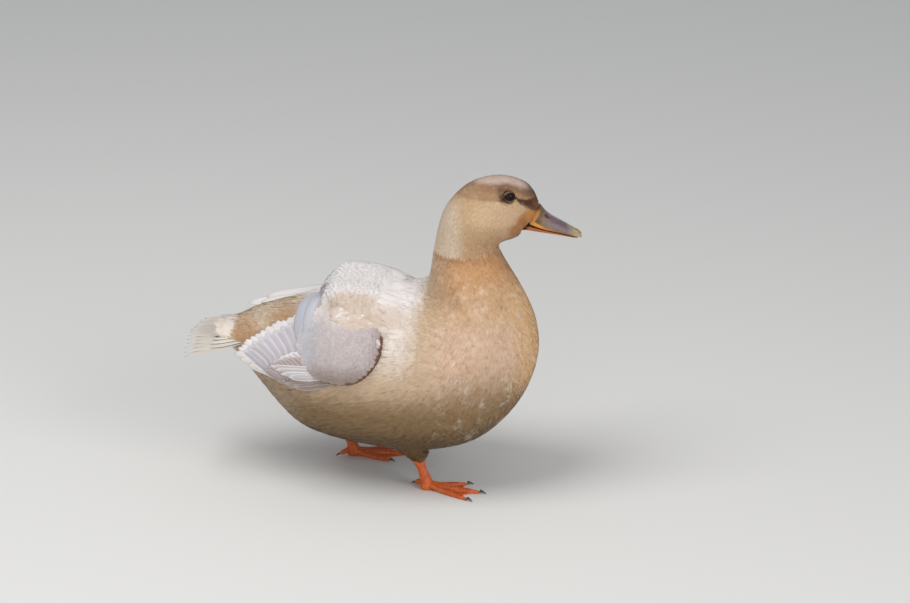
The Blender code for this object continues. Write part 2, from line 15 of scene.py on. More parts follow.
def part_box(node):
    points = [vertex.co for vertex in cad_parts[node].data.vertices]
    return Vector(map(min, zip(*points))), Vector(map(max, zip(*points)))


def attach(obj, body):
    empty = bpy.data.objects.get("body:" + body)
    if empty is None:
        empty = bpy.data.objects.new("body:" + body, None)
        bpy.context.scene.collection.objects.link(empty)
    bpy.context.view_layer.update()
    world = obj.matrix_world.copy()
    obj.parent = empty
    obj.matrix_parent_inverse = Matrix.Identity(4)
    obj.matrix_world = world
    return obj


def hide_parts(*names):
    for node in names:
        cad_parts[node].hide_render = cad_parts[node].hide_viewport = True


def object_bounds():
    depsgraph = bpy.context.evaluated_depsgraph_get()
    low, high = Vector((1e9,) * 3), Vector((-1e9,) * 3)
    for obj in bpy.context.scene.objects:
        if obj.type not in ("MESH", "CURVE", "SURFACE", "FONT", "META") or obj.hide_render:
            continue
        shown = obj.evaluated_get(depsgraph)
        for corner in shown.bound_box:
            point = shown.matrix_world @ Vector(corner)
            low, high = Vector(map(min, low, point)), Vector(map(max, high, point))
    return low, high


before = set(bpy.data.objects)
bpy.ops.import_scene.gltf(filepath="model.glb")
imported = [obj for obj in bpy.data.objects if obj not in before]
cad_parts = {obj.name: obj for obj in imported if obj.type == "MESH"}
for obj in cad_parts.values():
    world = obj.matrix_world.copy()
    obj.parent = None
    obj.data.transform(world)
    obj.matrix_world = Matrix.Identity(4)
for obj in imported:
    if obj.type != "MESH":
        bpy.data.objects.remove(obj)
cadLow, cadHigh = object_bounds()
duckLength = cadHigh.x - cadLow.x
duckHeight = cadHigh.z
sides = {"right": -1, "left": 1}
mm = 0.001


# Small tools

def unit(vectors):
    return vectors / np.maximum(np.linalg.norm(vectors, axis=-1, keepdims=True), 1e-12)


def dot(a, b):
    return (a * b).sum(-1)


def ease(value, low, high):
    # 0 at low, 1 at high, smooth between; low may be the larger
    share = np.clip((value - low) / (high - low), 0, 1)
    return share * share * (3 - 2 * share)


def middleOf(node):
    low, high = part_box(node)
    return (low + high) / 2


def solidTree(nodes):
    # one search tree over several nodes of the frame
    points, faces = [], []
    for name in nodes:
        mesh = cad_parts[name].data
        start = len(points)
        points += [v.co.copy() for v in mesh.vertices]
        faces += [[start + i for i in p.vertices] for p in mesh.polygons]
    return BVHTree.FromPolygons(points, faces)


def linked(name, data):
    made = bpy.data.objects.new(name, data)
    bpy.context.scene.collection.objects.link(made)
    return made


def meshPiece(name, points, faces, material, smooth=True):
    # faces is an array with three or four corners in each row
    mesh = bpy.data.meshes.new(name)
    faces = np.asarray(faces, np.int32)
    corners = faces.shape[1]
    mesh.vertices.add(len(points))
    mesh.vertices.foreach_set("co", np.asarray(points, np.float32).ravel())
    mesh.loops.add(faces.size)
    mesh.loops.foreach_set("vertex_index", faces.ravel())
    mesh.polygons.add(len(faces))
    mesh.polygons.foreach_set("loop_start", np.arange(0, faces.size, corners, dtype=np.int32))
    mesh.materials.append(material)
    mesh.update(calc_edges=True)
    if smooth:
        mesh.shade_smooth()
    return linked(name, mesh)


def paint(mesh, name, values):
    # a vector attribute on the points, read by the materials
    attribute = mesh.attributes.new(name, "FLOAT_VECTOR", "POINT")
    attribute.data.foreach_set("vector", np.ascontiguousarray(values, np.float32).ravel())


def pointsOf(mesh, what="co"):
    points = np.empty(len(mesh.vertices) * 3)
    mesh.vertices.foreach_get(what, points)
    return points.reshape(-1, 3)


def bakeMap(mesh, faces, flat):
    layer = mesh.uv_layers.new(name="OFBake")
    layer.data.foreach_set("uv", flat[faces.ravel()].astype(np.float32).ravel())


def faceOutward(mesh, joined=0.0):
    # turns a closed mesh's faces outward, and joins points that lie within a distance of each other
    solid = bmesh.new()
    solid.from_mesh(mesh)
    if joined:
        bmesh.ops.remove_doubles(solid, verts=solid.verts, dist=joined)
    bmesh.ops.recalc_face_normals(solid, faces=solid.faces)
    solid.to_mesh(mesh)
    solid.free()


def standing(piece, slot, *nodes):
    # nothing moves on her, so every piece stands on the root; nodes are those it is shown in place of
    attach(piece, "root")
    if nodes:
        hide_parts(*nodes)


# How the head is turned, from the eyes

eyeSpan = middleOf("eye_left") - middleOf("eye_right")
eyeMiddle = (middleOf("eye_left") + middleOf("eye_right")) / 2
headTurn = math.atan2(-eyeSpan.x, eyeSpan.y)
neckAxisX = eyeMiddle.x - eyeMiddle.y / math.tan(headTurn)
headAhead = np.array((math.cos(headTurn), math.sin(headTurn), 0))
headLeft = np.array((-math.sin(headTurn), math.cos(headTurn), 0))


def turnedBy(points, angle):
    # turns points about the upright axis through the neck
    points = np.asarray(points, float)
    x, y = points[..., 0] - neckAxisX, points[..., 1]
    c, s = np.cos(angle), np.sin(angle)
    return np.stack([neckAxisX + x * c - y * s, x * s + y * c, points[..., 2]], -1)


eyeHome = turnedBy(np.array(eyeMiddle), -headTurn)


def toHead(points):
    # from the world to the head's own frame: forward, outward to her left and up from between the eyes
    return turnedBy(points, -headTurn) - eyeHome


def fromHead(local):
    return turnedBy(np.asarray(local) + eyeHome, headTurn)


# The eyeball's place from its solid's middle, and its colours
eyeball = {"ahead": 0.8 * mm, "inside": 1.0 * mm, "up": 1.3 * mm,
           "iris": (0.020, 0.009, 0.004), "limbus": (0.008, 0.004, 0.003), "pupil": (0.002, 0.002, 0.002)}


def eyePlace(side):
    outward = sides[side] * headLeft
    return (np.array(middleOf(f"eye_{side}")) + headAhead * eyeball["ahead"] - outward * eyeball["inside"]
            + np.array((0, 0, eyeball["up"])))


# The body's shape, as rings of points

# Stations along the body's middle line: (share of her length from the middle, share of her height,
# the slant of the ring there in degrees, upwards from straight ahead)
bodyLine = np.array([
    (-0.376, 0.451, 98),  # 0 tail root
    (-0.318, 0.429, 93),  # 1 rump
    (-0.183, 0.378, 86),  # 2 hips
    (0.016, 0.368, 92),  # 3 belly
    (0.107, 0.372, 100),  # 4 keel
    (0.177, 0.394, 110),  # 5 lower breast
    (0.224, 0.437, 120),  # 6 breast
    (0.255, 0.496, 131),  # 7 full breast
    (0.270, 0.564, 142),  # 8 foremost breast
    (0.267, 0.629, 150),  # 9 crop
    (0.253, 0.686, 157),  # 10 neck base
    (0.237, 0.737, 164),  # 11 lower neck
    (0.225, 0.781, 168),  # 12 narrowest neck
    (0.228, 0.809, 161),  # 13 nape
    (0.238, 0.836, 150),  # 14 throat
    (0.254, 0.860, 138),  # 15 hind crown
    (0.278, 0.881, 125),  # 16 cheeks
    (0.305, 0.892, 112),  # 17 crown
    (0.334, 0.893, 99),  # 18 eyes
    (0.360, 0.884, 84),  # 19 brow
    (0.376, 0.870, 71),  # 20 lores
    (0.386, 0.853, 52),  # 21 feather edge at the bill
])
bodyGrid = {"ringsPerStation": 9, "steps": 96, "turnStarts": 8.0, "turnEnds": 13.5, "reach": 0.16}
lastStation = len(bodyLine) - 1
flesh = ["trunk", "neck", "head"] + [f"{part}_{side}" for side in sides for part in
                                     ("scapulars", "thigh", "wing_coverts")]


def spline(rows, t):
    # the Catmull-Rom curve through the rows, at an array t counted in rows
    t = np.asarray(t, float)
    last = len(rows) - 1
    i = np.clip(np.floor(t).astype(int), 0, last - 1)
    f = (t - i)[..., None]
    padded = np.vstack([2 * rows[0] - rows[1], rows, 2 * rows[-1] - rows[-2]])
    p0, p1, p2, p3 = (padded[i + k] for k in range(4))
    return 0.5 * (2 * p1 + (p2 - p0) * f + (2 * p0 - 5 * p1 + 4 * p2 - p3) * f ** 2
                  + (3 * p1 - p0 - 3 * p2 + p3) * f ** 3)


def lastHit(tree, centre, ray, reach, gap=0.0016):
    # how far the solids run on along a ray from inside them, over the thin cuts between them
    travelled, far, nudge = 0.0, None, 1e-5
    while travelled < reach:
        start = centre + ray * (travelled + nudge)
        place, normal, _, distance = tree.ray_cast(start, ray, reach - travelled)
        if place is None:
            break
        travelled += distance + nudge
        if normal.dot(ray) > 0:
            far = travelled
        elif far is not None and travelled - far > gap:
            break
    return far


def blurred(values, along, around, closed=True):
    # evens out a grid of numbers along its rings and round them
    kernel = lambda width: np.exp(-0.5 * (np.arange(-3 * width, 3 * width + 1) / width) ** 2)
    for axis, width in ((0, along), (1, around)):
        if width == 0:
            continue
        weights = kernel(width) / kernel(width).sum()
        reach = len(weights) // 2
        wrap = "wrap" if axis == 1 and closed else "edge"
        pad = [(reach, reach) if k == axis else (0, 0) for k in range(values.ndim)]
        padded = np.pad(values, pad, mode=wrap)
        length = values.shape[axis]
        values = sum(w * np.take(padded, range(k, k + length), axis) for k, w in enumerate(weights))
    return values


def castRings(tree, centres, ups, acrosses, steps, reach, along=1.0, around=1.0):
    # the outer surface of the solids round a middle line, as a grid of points
    angles = np.arange(steps) * 2 * math.pi / steps
    rays = (ups[:, None] * np.cos(angles)[None, :, None] + acrosses[:, None] * np.sin(angles)[None, :, None])
    far = np.full(rays.shape[:2], np.nan)
    for i, centre in enumerate(centres):
        start = Vector(centre)
        for k in range(steps):
            found = lastHit(tree, start, Vector(rays[i, k]), reach)
            if found is not None:
                far[i, k] = found
    for _ in range(40):  # a missed ray takes its neighbours' distance
        missing = np.isnan(far)
        if not missing.any():
            break
        near = np.stack([np.roll(far, 1, 1), np.roll(far, -1, 1), np.roll(far, 1, 0), np.roll(far, -1, 0)])
        filled = np.nanmean(np.where(np.isnan(near).all(0), 0.02, near), 0)
        far = np.where(missing, filled, far)
    far = blurred(far, along, around)
    return centres[:, None] + rays * far[..., None]


def gridNormals(grid, outward):
    around = np.roll(grid, -1, 1) - np.roll(grid, 1, 1)
    along = np.gradient(grid, axis=0)
    normals = unit(np.cross(along, around))
    return normals * np.sign(dot(normals, outward).mean())


# Along the stations, in millimetres: how deep the coat is, how long and wide its feathers are, how far apart
coatTable = {
    "station": (0, 1, 2, 3, 4, 6, 8, 9, 10, 11, 12, 13, 14, 16, 18, 19.5, 20.4, 21),
    "depth": (1.5, 1.7, 1.8, 1.8, 1.8, 1.7, 1.6, 1.5, 1.4, 1.3, 1.25, 1.2, 1.1, 1.0, 0.9, 0.8, 0.65, 0.5),
    "length": (22, 24, 25, 25, 23, 20, 18, 16, 13.5, 11, 9.6, 8.6, 7.6, 6.4, 5.6, 4.3, 3.1, 2.4),
    "width": (7.4, 7.8, 7.8, 7.8, 7.4, 6.6, 5.8, 5.0, 4.3, 3.6, 3.0, 2.6, 2.3, 2.0, 1.8, 1.55, 1.3, 1.1),
    "spacing": (4.4, 4.4, 4.5, 4.5, 4.3, 3.8, 3.3, 2.9, 2.55, 2.2, 1.9, 1.7, 1.52, 1.38, 1.25, 1.1,
                0.95, 0.9),
}


def alongTable(what, stations):
    return np.interp(stations, coatTable["station"], coatTable[what]) * mm


def bodySurface():
    # outer: out to the feather tips; skin: inside it by the coat's depth
    count = lastStation * bodyGrid["ringsPerStation"]
    stations = np.linspace(0.03, lastStation - 0.04, count + 1)
    line = spline(bodyLine, stations)
    straight = np.stack([line[:, 0] * duckLength, 0 * stations, line[:, 1] * duckHeight], -1)
    lean = np.radians(line[:, 2])
    angle = headTurn * ease(stations, bodyGrid["turnStarts"], bodyGrid["turnEnds"])
    centres = turnedBy(straight, angle)
    ups = np.stack([np.cos(lean) * np.cos(angle), np.cos(lean) * np.sin(angle), np.sin(lean)], -1)
    acrosses = np.stack([-np.sin(angle), np.cos(angle), 0 * angle], -1)
    outer = castRings(solidTree(flesh), centres, ups, acrosses, bodyGrid["steps"], bodyGrid["reach"])
    normals = gridNormals(outer, outer - centres[:, None])
    depth = np.repeat(alongTable("depth", stations)[:, None], bodyGrid["steps"], 1)
    skin = blurred(outer - normals * depth[..., None], 1, 1)
    return finishSurface({"outer": outer, "skin": skin, "stations": stations, "centres": centres})


def finishSurface(surface):
    outer = surface["outer"]
    surface["normal"] = gridNormals(outer, outer - surface["centres"][:, None])
    surface["alongStep"] = np.gradient(outer, axis=0)
    surface["roundStep"] = (np.roll(outer, -1, 1) - np.roll(outer, 1, 1)) / 2
    surface["cellArea"] = np.linalg.norm(np.cross(surface["alongStep"], surface["roundStep"]), axis=-1)
    return surface


def onGrid(grid, ring, step):
    # the grid's value between its points; it runs straight on past either end
    rings, steps = grid.shape[:2]
    inside = np.clip(ring, 0, rings - 1.001)
    i = inside.astype(int)
    f = (inside - i)[..., None]
    j = np.floor(step).astype(int)
    g = (step - j)[..., None]
    near, far = j % steps, (j + 1) % steps
    low = grid[i, near] * (1 - g) + grid[i, far] * g
    high = grid[i + 1, near] * (1 - g) + grid[i + 1, far] * g
    return low + (high - low) * (f + (ring - inside)[..., None])


print("shape: casting the body's rings")
body = bodySurface()


# Feathers

heartShare = 0.7  # how far along a feather lies the place that gives all of it its colour
closeness = 0.92  # the least distance between two roots, as a share of their spacing
bakeMargin = 0.006
bakePatch = 0.003


def vaneShape(strands, rows, split):
    # A closed flat feather. Its strands are joined up to the split and part into pointed barbs beyond it.
    # place: across from -1 to 1 and along from 0 to 1; free: 0 joined, 1 halfway along a barb, 2 at its tip
    across, along, free, strand = [], [], [], []
    for r in range(rows):
        across += list(np.linspace(-1, 1, strands + 1))
        along += [split * r / (rows - 1)] * (strands + 1)
    free += [0] * len(across)
    strand += [0] * len(across)
    middles = (np.arange(strands) + 0.5) * 2 / strands - 1
    for k, u in enumerate(middles):
        across += [u - 0.62 / strands, u + 0.62 / strands, u]
        along += [split, split, 1.0]
        free += [1, 1, 2]
        strand += [k] * 3
    faces = []
    row = strands + 1
    for r in range(rows - 1):
        for k in range(strands):
            a, b = r * row + k, (r + 1) * row + k
            faces += [(a, b, b + 1), (a, b + 1, a + 1)]
    for k in range(strands):
        joint = (rows - 1) * row + k
        m = rows * row + 3 * k
        faces += [(joint, m, m + 1), (joint, m + 1, joint + 1), (m, m + 2, m + 1)]
    edges = {(f[k], f[(k + 1) % 3]) for f in faces for k in range(3)}
    under = len(across)
    faces += [(b, a, under) for a, b in sorted(edges) if (b, a) not in edges]
    across.append(0.0)
    along.append(0.45)
    free.append(3)
    strand.append(0)
    return {"across": np.array(across), "along": np.array(along), "free": np.array(free),
            "strand": np.array(strand), "strands": strands, "split": split, "faces": np.array(faces)}


def shapeFeathers(shape, count, rng, round=0.22, ragged=0.35, spread=0.45, narrow=0.45, camber=0.04,
                      curl=0.08, thin=0.10, rise=0.42):
    # each feather's points in its own measures: along 0 to 1, across -1 to 1, height 0 to 1
    u, v, free = (shape[k][None, :] for k in ("across", "along", "free"))
    u = np.repeat(u, count, 0).astype(float)
    jitter = rng.random((count, shape["strands"]))[:, shape["strand"]]
    swing = rng.random((count, shape["strands"]))[:, shape["strand"]] - 0.5
    split = shape["split"]
    reach = 1 - round * u ** 2 - ragged * jitter
    joined = v * (1 - 0.6 * round * u ** 2)
    at = split * (1 - 0.6 * round * u ** 2)
    along = np.where(free == 1, at + (reach - at) * 0.5, np.where(free == 2, reach, joined))
    width = narrow + (1 - narrow) * ease(along, 0, 0.5)
    across = (u + spread * swing * (free == 2)) * width
    height = along ** rise - camber * u ** 2 * (0.3 + along) + curl * (swing + jitter - 0.5) * (free > 0)
    height = np.where(free == 3, 0.45 ** rise - thin - camber, height)
    return along, across, height


def layFeathers(surface, ring, step, length, width, shape, rng, stand, sweep=0.0, **looks):
    # lays feathers on a surface along its rings, tips towards the tail. stand scales how far their tips rise
    # through the coat; sweep turns them, in radians, towards the way that steps run
    count = len(ring)
    normal = unit(onGrid(surface["normal"], ring, step))
    alongStep = onGrid(surface["alongStep"], ring, step)
    roundStep = onGrid(surface["roundStep"], ring, step)
    ahead = -unit(alongStep - normal * dot(alongStep, normal)[:, None])
    aside = np.cross(normal, ahead)
    towards = np.sign(dot(aside, roundStep))
    turn = (np.zeros(count) + sweep) * towards
    forward = ahead * np.cos(turn)[:, None] + aside * np.sin(turn)[:, None]
    beside = np.cross(normal, forward)
    # how many rings and steps a metre forward or beside is
    aa, ab, bb = dot(alongStep, alongStep), dot(alongStep, roundStep), dot(roundStep, roundStep)
    det = np.maximum(aa * bb - ab * ab, 1e-16)

    def inSteps(direction):
        p, q = dot(alongStep, direction), dot(roundStep, direction)
        return (p * bb - q * ab) / det, (q * aa - p * ab) / det

    forwardRing, forwardStep = inSteps(forward)
    besideRing, besideStep = inSteps(beside)
    along, across, height = shapeFeathers(shape, count, rng, **looks)
    ahead = along * length[:, None]
    out = across * width[:, None] / 2
    rings = ring[:, None] + forwardRing[:, None] * ahead + besideRing[:, None] * out
    steps = step[:, None] + forwardStep[:, None] * ahead + besideStep[:, None] * out
    inner = onGrid(surface["skin"], rings, steps)
    outer = onGrid(surface["outer"], rings, steps)
    points = inner + (outer - inner) * (height * (np.zeros(count) + stand)[:, None])[..., None]
    middle = length * heartShare
    heart = onGrid(surface["outer"], ring + forwardRing * middle, step + forwardStep * middle)
    lie = unit(onGrid(surface["normal"], rings, steps))
    return {"points": points, "faces": shape["faces"], "under": shape["free"] == 3, "heart": heart,
            "lie": lie, "along": along, "across": across, "place": np.stack([ring, step], -1),
            "id": rng.random(count)}


def scatter(surface, spacing, chosen, rng, tries=12):
    # places about a spacing apart over the chosen cells of the surface
    spacing = np.broadcast_to(spacing, chosen.shape)
    weight = np.where(chosen, surface["cellArea"] / spacing ** 2, 0.0)
    count = int(weight.sum() * tries)
    cells = rng.choice(weight.size, count, p=(weight / weight.sum()).ravel())
    steps = weight.shape[1]
    ring = cells // steps + rng.random(count) - 0.5
    step = cells % steps + rng.random(count) - 0.5
    places = onGrid(surface["outer"], ring, step)
    apart = spacing.ravel()[cells] * closeness
    tree = KDTree(count)
    for i, place in enumerate(places):
        tree.insert(place, i)
    tree.balance()
    alive = np.ones(count, bool)
    kept = []
    for i in range(count):
        if alive[i]:
            kept.append(i)
            for _, j, _ in tree.find_range(places[i], apart[i]):
                alive[j] = False
    return ring[kept], step[kept]


def bakePlaces(surface, places):
    # each root's place on the surface laid flat, fitted to the square: round it across, along it upwards
    outer = surface["outer"]
    up = np.concatenate([[0], np.cumsum(np.linalg.norm(np.diff(outer, axis=0), axis=-1).mean(1))])
    girth = np.linalg.norm(np.roll(outer, -1, 1) - outer, axis=-1).sum(1)
    ring, step = places[:, 0], places[:, 1]
    rings = np.arange(len(up))
    across = (((step / outer.shape[1] + 0.5) % 1.0) - 0.5) * np.interp(ring, rings, girth)
    flat = np.stack([across, np.interp(ring, rings, up)], -1)
    low, high = flat.min(0), flat.max(0)
    return bakeMargin + (1 - 2 * bakeMargin) * (flat - low) / np.maximum(high - low, 1e-6)


def upperNormals(points, faces, under):
    # how each point faces by its upper faces alone, so that thin edges don't shade as rims
    upper = faces[~under]
    a, b, c = (points[upper[:, k]] for k in range(3))
    facing = np.cross(b - a, c - a)
    normals = np.zeros_like(points)
    for k in range(3):
        for axis in range(3):
            normals[:, axis] += np.bincount(upper[:, k], facing[:, axis], len(points))
    return unit(normals + 1e-15)


def setNormals(mesh, points, normals, faces, under):
    # one normal for each corner of each face; those of the undersides are on the side that the face looks to
    a, b, c = (points[faces[:, k]] for k in range(3))
    facing = np.sign(dot(np.cross(b - a, c - a), normals[faces].sum(1)))
    corners = normals[faces.ravel()] * np.where(under, facing, 1.0).repeat(3)[:, None]
    attribute = mesh.attributes.new("custom_normal", "FLOAT_VECTOR", "CORNER")
    attribute.data.foreach_set("vector", corners.astype(np.float32).ravel())
    # the undersides' edges part them from what they touch
    ends = np.empty(2 * len(mesh.edges), np.int32)
    mesh.edges.foreach_get("vertices", ends)
    ends = np.sort(ends.reshape(-1, 2), 1).astype(np.int64)
    pairs = [np.sort(faces[under][:, [k, (k + 1) % 3]], 1) for k in range(3)]
    pairs = np.concatenate(pairs).astype(np.int64)
    sharp = mesh.attributes.new("sharp_edge", "BOOLEAN", "EDGE")
    sharp.data.foreach_set("value", np.isin(ends @ (len(normals), 1), pairs @ (len(normals), 1)))
    mesh.update()


def featherPiece(name, surface, layers, material, slot, soft=0.6):
    # joins laid feathers into one piece, with what the materials and the bake read. soft is how far light
    # falls on them as on the body under them
    gathered = {key: [] for key in ("points", "faces", "under", "vane", "heart", "lie", "flat", "colour")}
    start = 0
    for layer in layers:
        count, size = layer["points"].shape[:2]
        own = {key: layer[key] for key in ("points", "lie")}
        offsets = start + np.arange(count) * size
        own["faces"] = layer["faces"][None] + offsets[:, None, None]
        chance = np.repeat(layer["id"][:, None], size, 1)
        own["vane"] = np.stack([layer["across"], layer["along"], chance], -1)
        for key in ("heart", "colour"):
            if key in layer:
                own[key] = np.repeat(layer[key][:, None], size, 1)
        patch = np.stack([layer["across"] / 2, layer["along"] - 0.5], -1) * bakePatch
        own["flat"] = bakePlaces(surface, layer["place"])[:, None] + patch
        for key, values in own.items():
            gathered[key].append(values.reshape(-1, values.shape[-1]))
        gathered["under"].append(np.tile(layer["under"], count))
        start += count * size
    whole = {key: np.concatenate(values) for key, values in gathered.items() if values}
    points, faces = whole["points"], whole["faces"]
    piece = meshPiece(name, points, faces, material)
    under = np.isin(faces, np.flatnonzero(whole["under"])).any(1)
    normals = upperNormals(points, faces, under)
    setNormals(piece.data, points, unit(normals + (whole["lie"] - normals) * soft), faces, under)
    paint(piece.data, "vane", whole["vane"])
    if "colour" in whole:
        paint(piece.data, "ground", whole["colour"])
        paint(piece.data, "marks", np.zeros_like(points))
    else:
        paintMarkings(piece.data, whole["heart"])
    bakeMap(piece.data, faces, whole["flat"])
    standing(piece, slot)
    print(f"feathers: {name}, {sum(len(k['id']) for k in layers)} feathers, {len(faces)} triangles")


def growPiece(name, surface, zone, rng, looks, material):
    # feathers scattered over a zone; what each has of its own is drawn in the looks' order, sizes in mm
    ring, step = scatter(surface, looks["spacing"], zone, rng)
    drawn = {key: getattr(rng, kind)(a, b, len(ring)) for key, (kind, a, b) in looks["drawn"].items()}
    length, width = drawn.pop("length") * mm, drawn.pop("width") * mm
    layer = layFeathers(surface, ring, step, length, width, looks["vane"], rng, **drawn, **looks["shape"])
    featherPiece(name, surface, [layer], material, "plumage")


# Materials

class Nodes:
    # short calls for building a node tree; a value given may be a number, a colour or another node's output
    def __init__(self, tree):
        self.tree = tree

    def put(self, kind, settings=None, **inputs):
        node = self.tree.nodes.new(kind)
        for key, value in (settings or {}).items():
            setattr(node, key, value)
        for key, value in inputs.items():
            self.plug(node, int(key[2:]) if key.startswith("in") and key[2:].isdigit() else key, value)
        return node

    def plug(self, node, key, value):
        socket = node.inputs[key]
        if isinstance(value, bpy.types.NodeSocket):
            self.tree.links.new(value, socket)
        else:
            socket.default_value = value

    def math(self, operation, a, b=0.0):
        return self.put("ShaderNodeMath", {"operation": operation}, in0=a, in1=b).outputs[0]

    def times(self, a, b):
        return self.math("MULTIPLY", a, b)

    def plus(self, a, b):
        return self.math("ADD", a, b)

    def minus(self, a, b):
        return self.math("SUBTRACT", a, b)

    def between(self, value, low, high, to=(0.0, 1.0)):
        # low and high eased onto the range to
        node = self.put("ShaderNodeMapRange", {"interpolation_type": "SMOOTHSTEP"}, Value=value)
        for key, number in (("From Min", low), ("From Max", high), ("To Min", to[0]), ("To Max", to[1])):
            self.plug(node, key, number)
        return node.outputs[0]

    def mix(self, factor, a, b, blend="MIX"):
        node = self.put("ShaderNodeMix", {"data_type": "RGBA", "blend_type": blend}, in0=factor, in6=a, in7=b)
        return node.outputs[2]

    def vector(self, x, y, z):
        return self.put("ShaderNodeCombineXYZ", None, in0=x, in1=y, in2=z).outputs[0]

    def parts(self, vector):
        return self.put("ShaderNodeSeparateXYZ", None, in0=vector).outputs

    def noise(self, vector, scale, detail, roughness=0.5):
        node = self.put("ShaderNodeTexNoise", None, Vector=vector, Scale=scale, Detail=detail,
                        Roughness=roughness)
        return node.outputs["Fac"]

    def attribute(self, name):
        return self.put("ShaderNodeAttribute", {"attribute_name": name}).outputs["Vector"]

    def place(self):
        return self.put("ShaderNodeTexCoord").outputs["Object"]

    def group(self, tree, **inputs):
        return self.put("ShaderNodeGroup", {"node_tree": tree}, **inputs)

    def cover(self, shader, colour, height, strength, distance):
        # a shader's colour, and a bump from a height
        bump = self.put("ShaderNodeBump", None, Height=height, Strength=strength, Distance=distance)
        self.plug(shader, "Base Color", colour)
        self.plug(shader, "Normal", bump.outputs["Normal"])


def newMaterial(name, colour, roughness, levels=None):
    # a material with the calls for its nodes and its shader; levels are more of the shader's own values
    material = bpy.data.materials.new(name)
    material.use_nodes = True
    shader = material.node_tree.nodes["Principled BSDF"]
    for key, value in {"Base Color": (*colour, 1), "Roughness": roughness, **(levels or {})}.items():
        shader.inputs[key].default_value = value
    return material, Nodes(material.node_tree), shader


def newGroup(name, inputs, outputs):
    # inputs: {name: (socket type, value)}; outputs: {name: socket type}
    group = bpy.data.node_groups.new(name, "ShaderNodeTree")
    for key, (kind, value) in inputs.items():
        socket = group.interface.new_socket(key, in_out="INPUT", socket_type=kind)
        if value is not None:
            socket.default_value = value
    for key, kind in outputs.items():
        group.interface.new_socket(key, in_out="OUTPUT", socket_type=kind)
    nodes = Nodes(group)
    return group, nodes, nodes.put("NodeGroupInput").outputs, nodes.put("NodeGroupOutput")


def vaneGroup():
    # the look of one feather along and across its vane: streaked barbs, a pale fringe, painted shade towards
    # the root, a shaft, and blotches that run over many feathers
    group, nodes, given, out = newGroup("featherVane", {
        "Ground": ("NodeSocketColor", (0.6, 0.45, 0.3, 1)),
        "Vane": ("NodeSocketVector", None),
        "Place": ("NodeSocketVector", None),
        "Mottle": ("NodeSocketFloat", 0.0),
        "Mottle Pale": ("NodeSocketColor", (0.8, 0.66, 0.54, 1)),
        "Mottle Deep": ("NodeSocketColor", (0.42, 0.22, 0.10, 1)),
        "Streaks": ("NodeSocketFloat", 0.3),
        "Variation": ("NodeSocketFloat", 0.12),
        "Root Shade": ("NodeSocketFloat", 0.35),
        "Fringe": ("NodeSocketFloat", 0.15),
        "Shaft": ("NodeSocketFloat", 0.0),
        "Barbs": ("NodeSocketFloat", 14.0),
    }, {"Color": "NodeSocketColor", "Height": "NodeSocketFloat"})
    across, along, chance = nodes.parts(given["Vane"])[:3]
    times, plus, minus, between, mix = nodes.times, nodes.plus, nodes.minus, nodes.between, nodes.mix
    side = nodes.math("ABSOLUTE", across)
    # barbs slant from the shaft towards the tip
    slant = minus(along, times(side, 0.35))
    lane = plus(across, times(chance, 31.0))
    streak = nodes.noise(nodes.vector(lane, times(along, 0.18), chance), 7.0, 3.0, 0.65)
    lying = nodes.vector(times(slant, given["Barbs"]), times(lane, 0.8), chance)
    barb = nodes.noise(lying, 2.0, 1.0)
    patches = nodes.noise(given["Place"], 70.0, 2.5, 0.6)
    small = nodes.noise(given["Place"], 240.0, 1.0)
    spread = plus(times(patches, 0.7), times(small, 0.3))
    pale = times(between(spread, 0.50, 0.70), given["Mottle"])
    deep = times(between(spread, 0.48, 0.30), given["Mottle"])
    colour = mix(times(pale, 0.75), given["Ground"], given["Mottle Pale"])
    colour = mix(times(deep, 0.6), colour, given["Mottle Deep"])
    fringe = times(between(along, 0.72, 1.0), given["Fringe"])
    colour = mix(fringe, colour, mix(0.55, colour, (1, 0.97, 0.93, 1)))
    shaft = times(between(side, 0.07, 0.02), given["Shaft"])
    colour = mix(shaft, colour, mix(0.5, colour, (1, 0.98, 0.94, 1)))
    # painted shade towards the root, where the feathers over it would shadow it
    root = minus(1.0, between(along, 0.0, 0.62))
    shade = minus(1.0, times(root, given["Root Shade"]))
    varied = times(minus(chance, 0.5), given["Variation"])
    lines = times(minus(streak, 0.5), times(given["Streaks"], 2.0))
    fine = times(minus(barb, 0.5), given["Streaks"])
    light = times(plus(plus(1.0, varied), plus(lines, fine)), shade)
    # darker streaks are also warmer, as in shadowed down
    tone = nodes.vector(light, nodes.math("POWER", light, 1.12), nodes.math("POWER", light, 1.28))
    nodes.plug(out, "Color", mix(1.0, colour, tone, "MULTIPLY"))
    nodes.plug(out, "Height", plus(times(streak, 0.6), times(barb, 0.4)))
    return group


def grainGroup():
    # a piece's own colour between a darker and a lighter one, as a grain runs from low to high
    group, nodes, given, out = newGroup("grainedGround", {
        "Ground": ("NodeSocketColor", (0.5, 0.5, 0.5, 1)),
        "Grain": ("NodeSocketFloat", 0.5),
        "Low": ("NodeSocketFloat", 0.3),
        "High": ("NodeSocketFloat", 0.7),
        "Dark": ("NodeSocketFloat", 0.8),
        "Light": ("NodeSocketFloat", 1.0),
    }, {"Color": "NodeSocketColor"})
    shade = nodes.between(given["Grain"], given["Low"], given["High"], (given["Dark"], given["Light"]))
    nodes.plug(out, "Color", nodes.mix(1.0, given["Ground"], nodes.vector(shade, shade, shade), "MULTIPLY"))
    return group


featherVane = vaneGroup()
grainedGround = grainGroup()


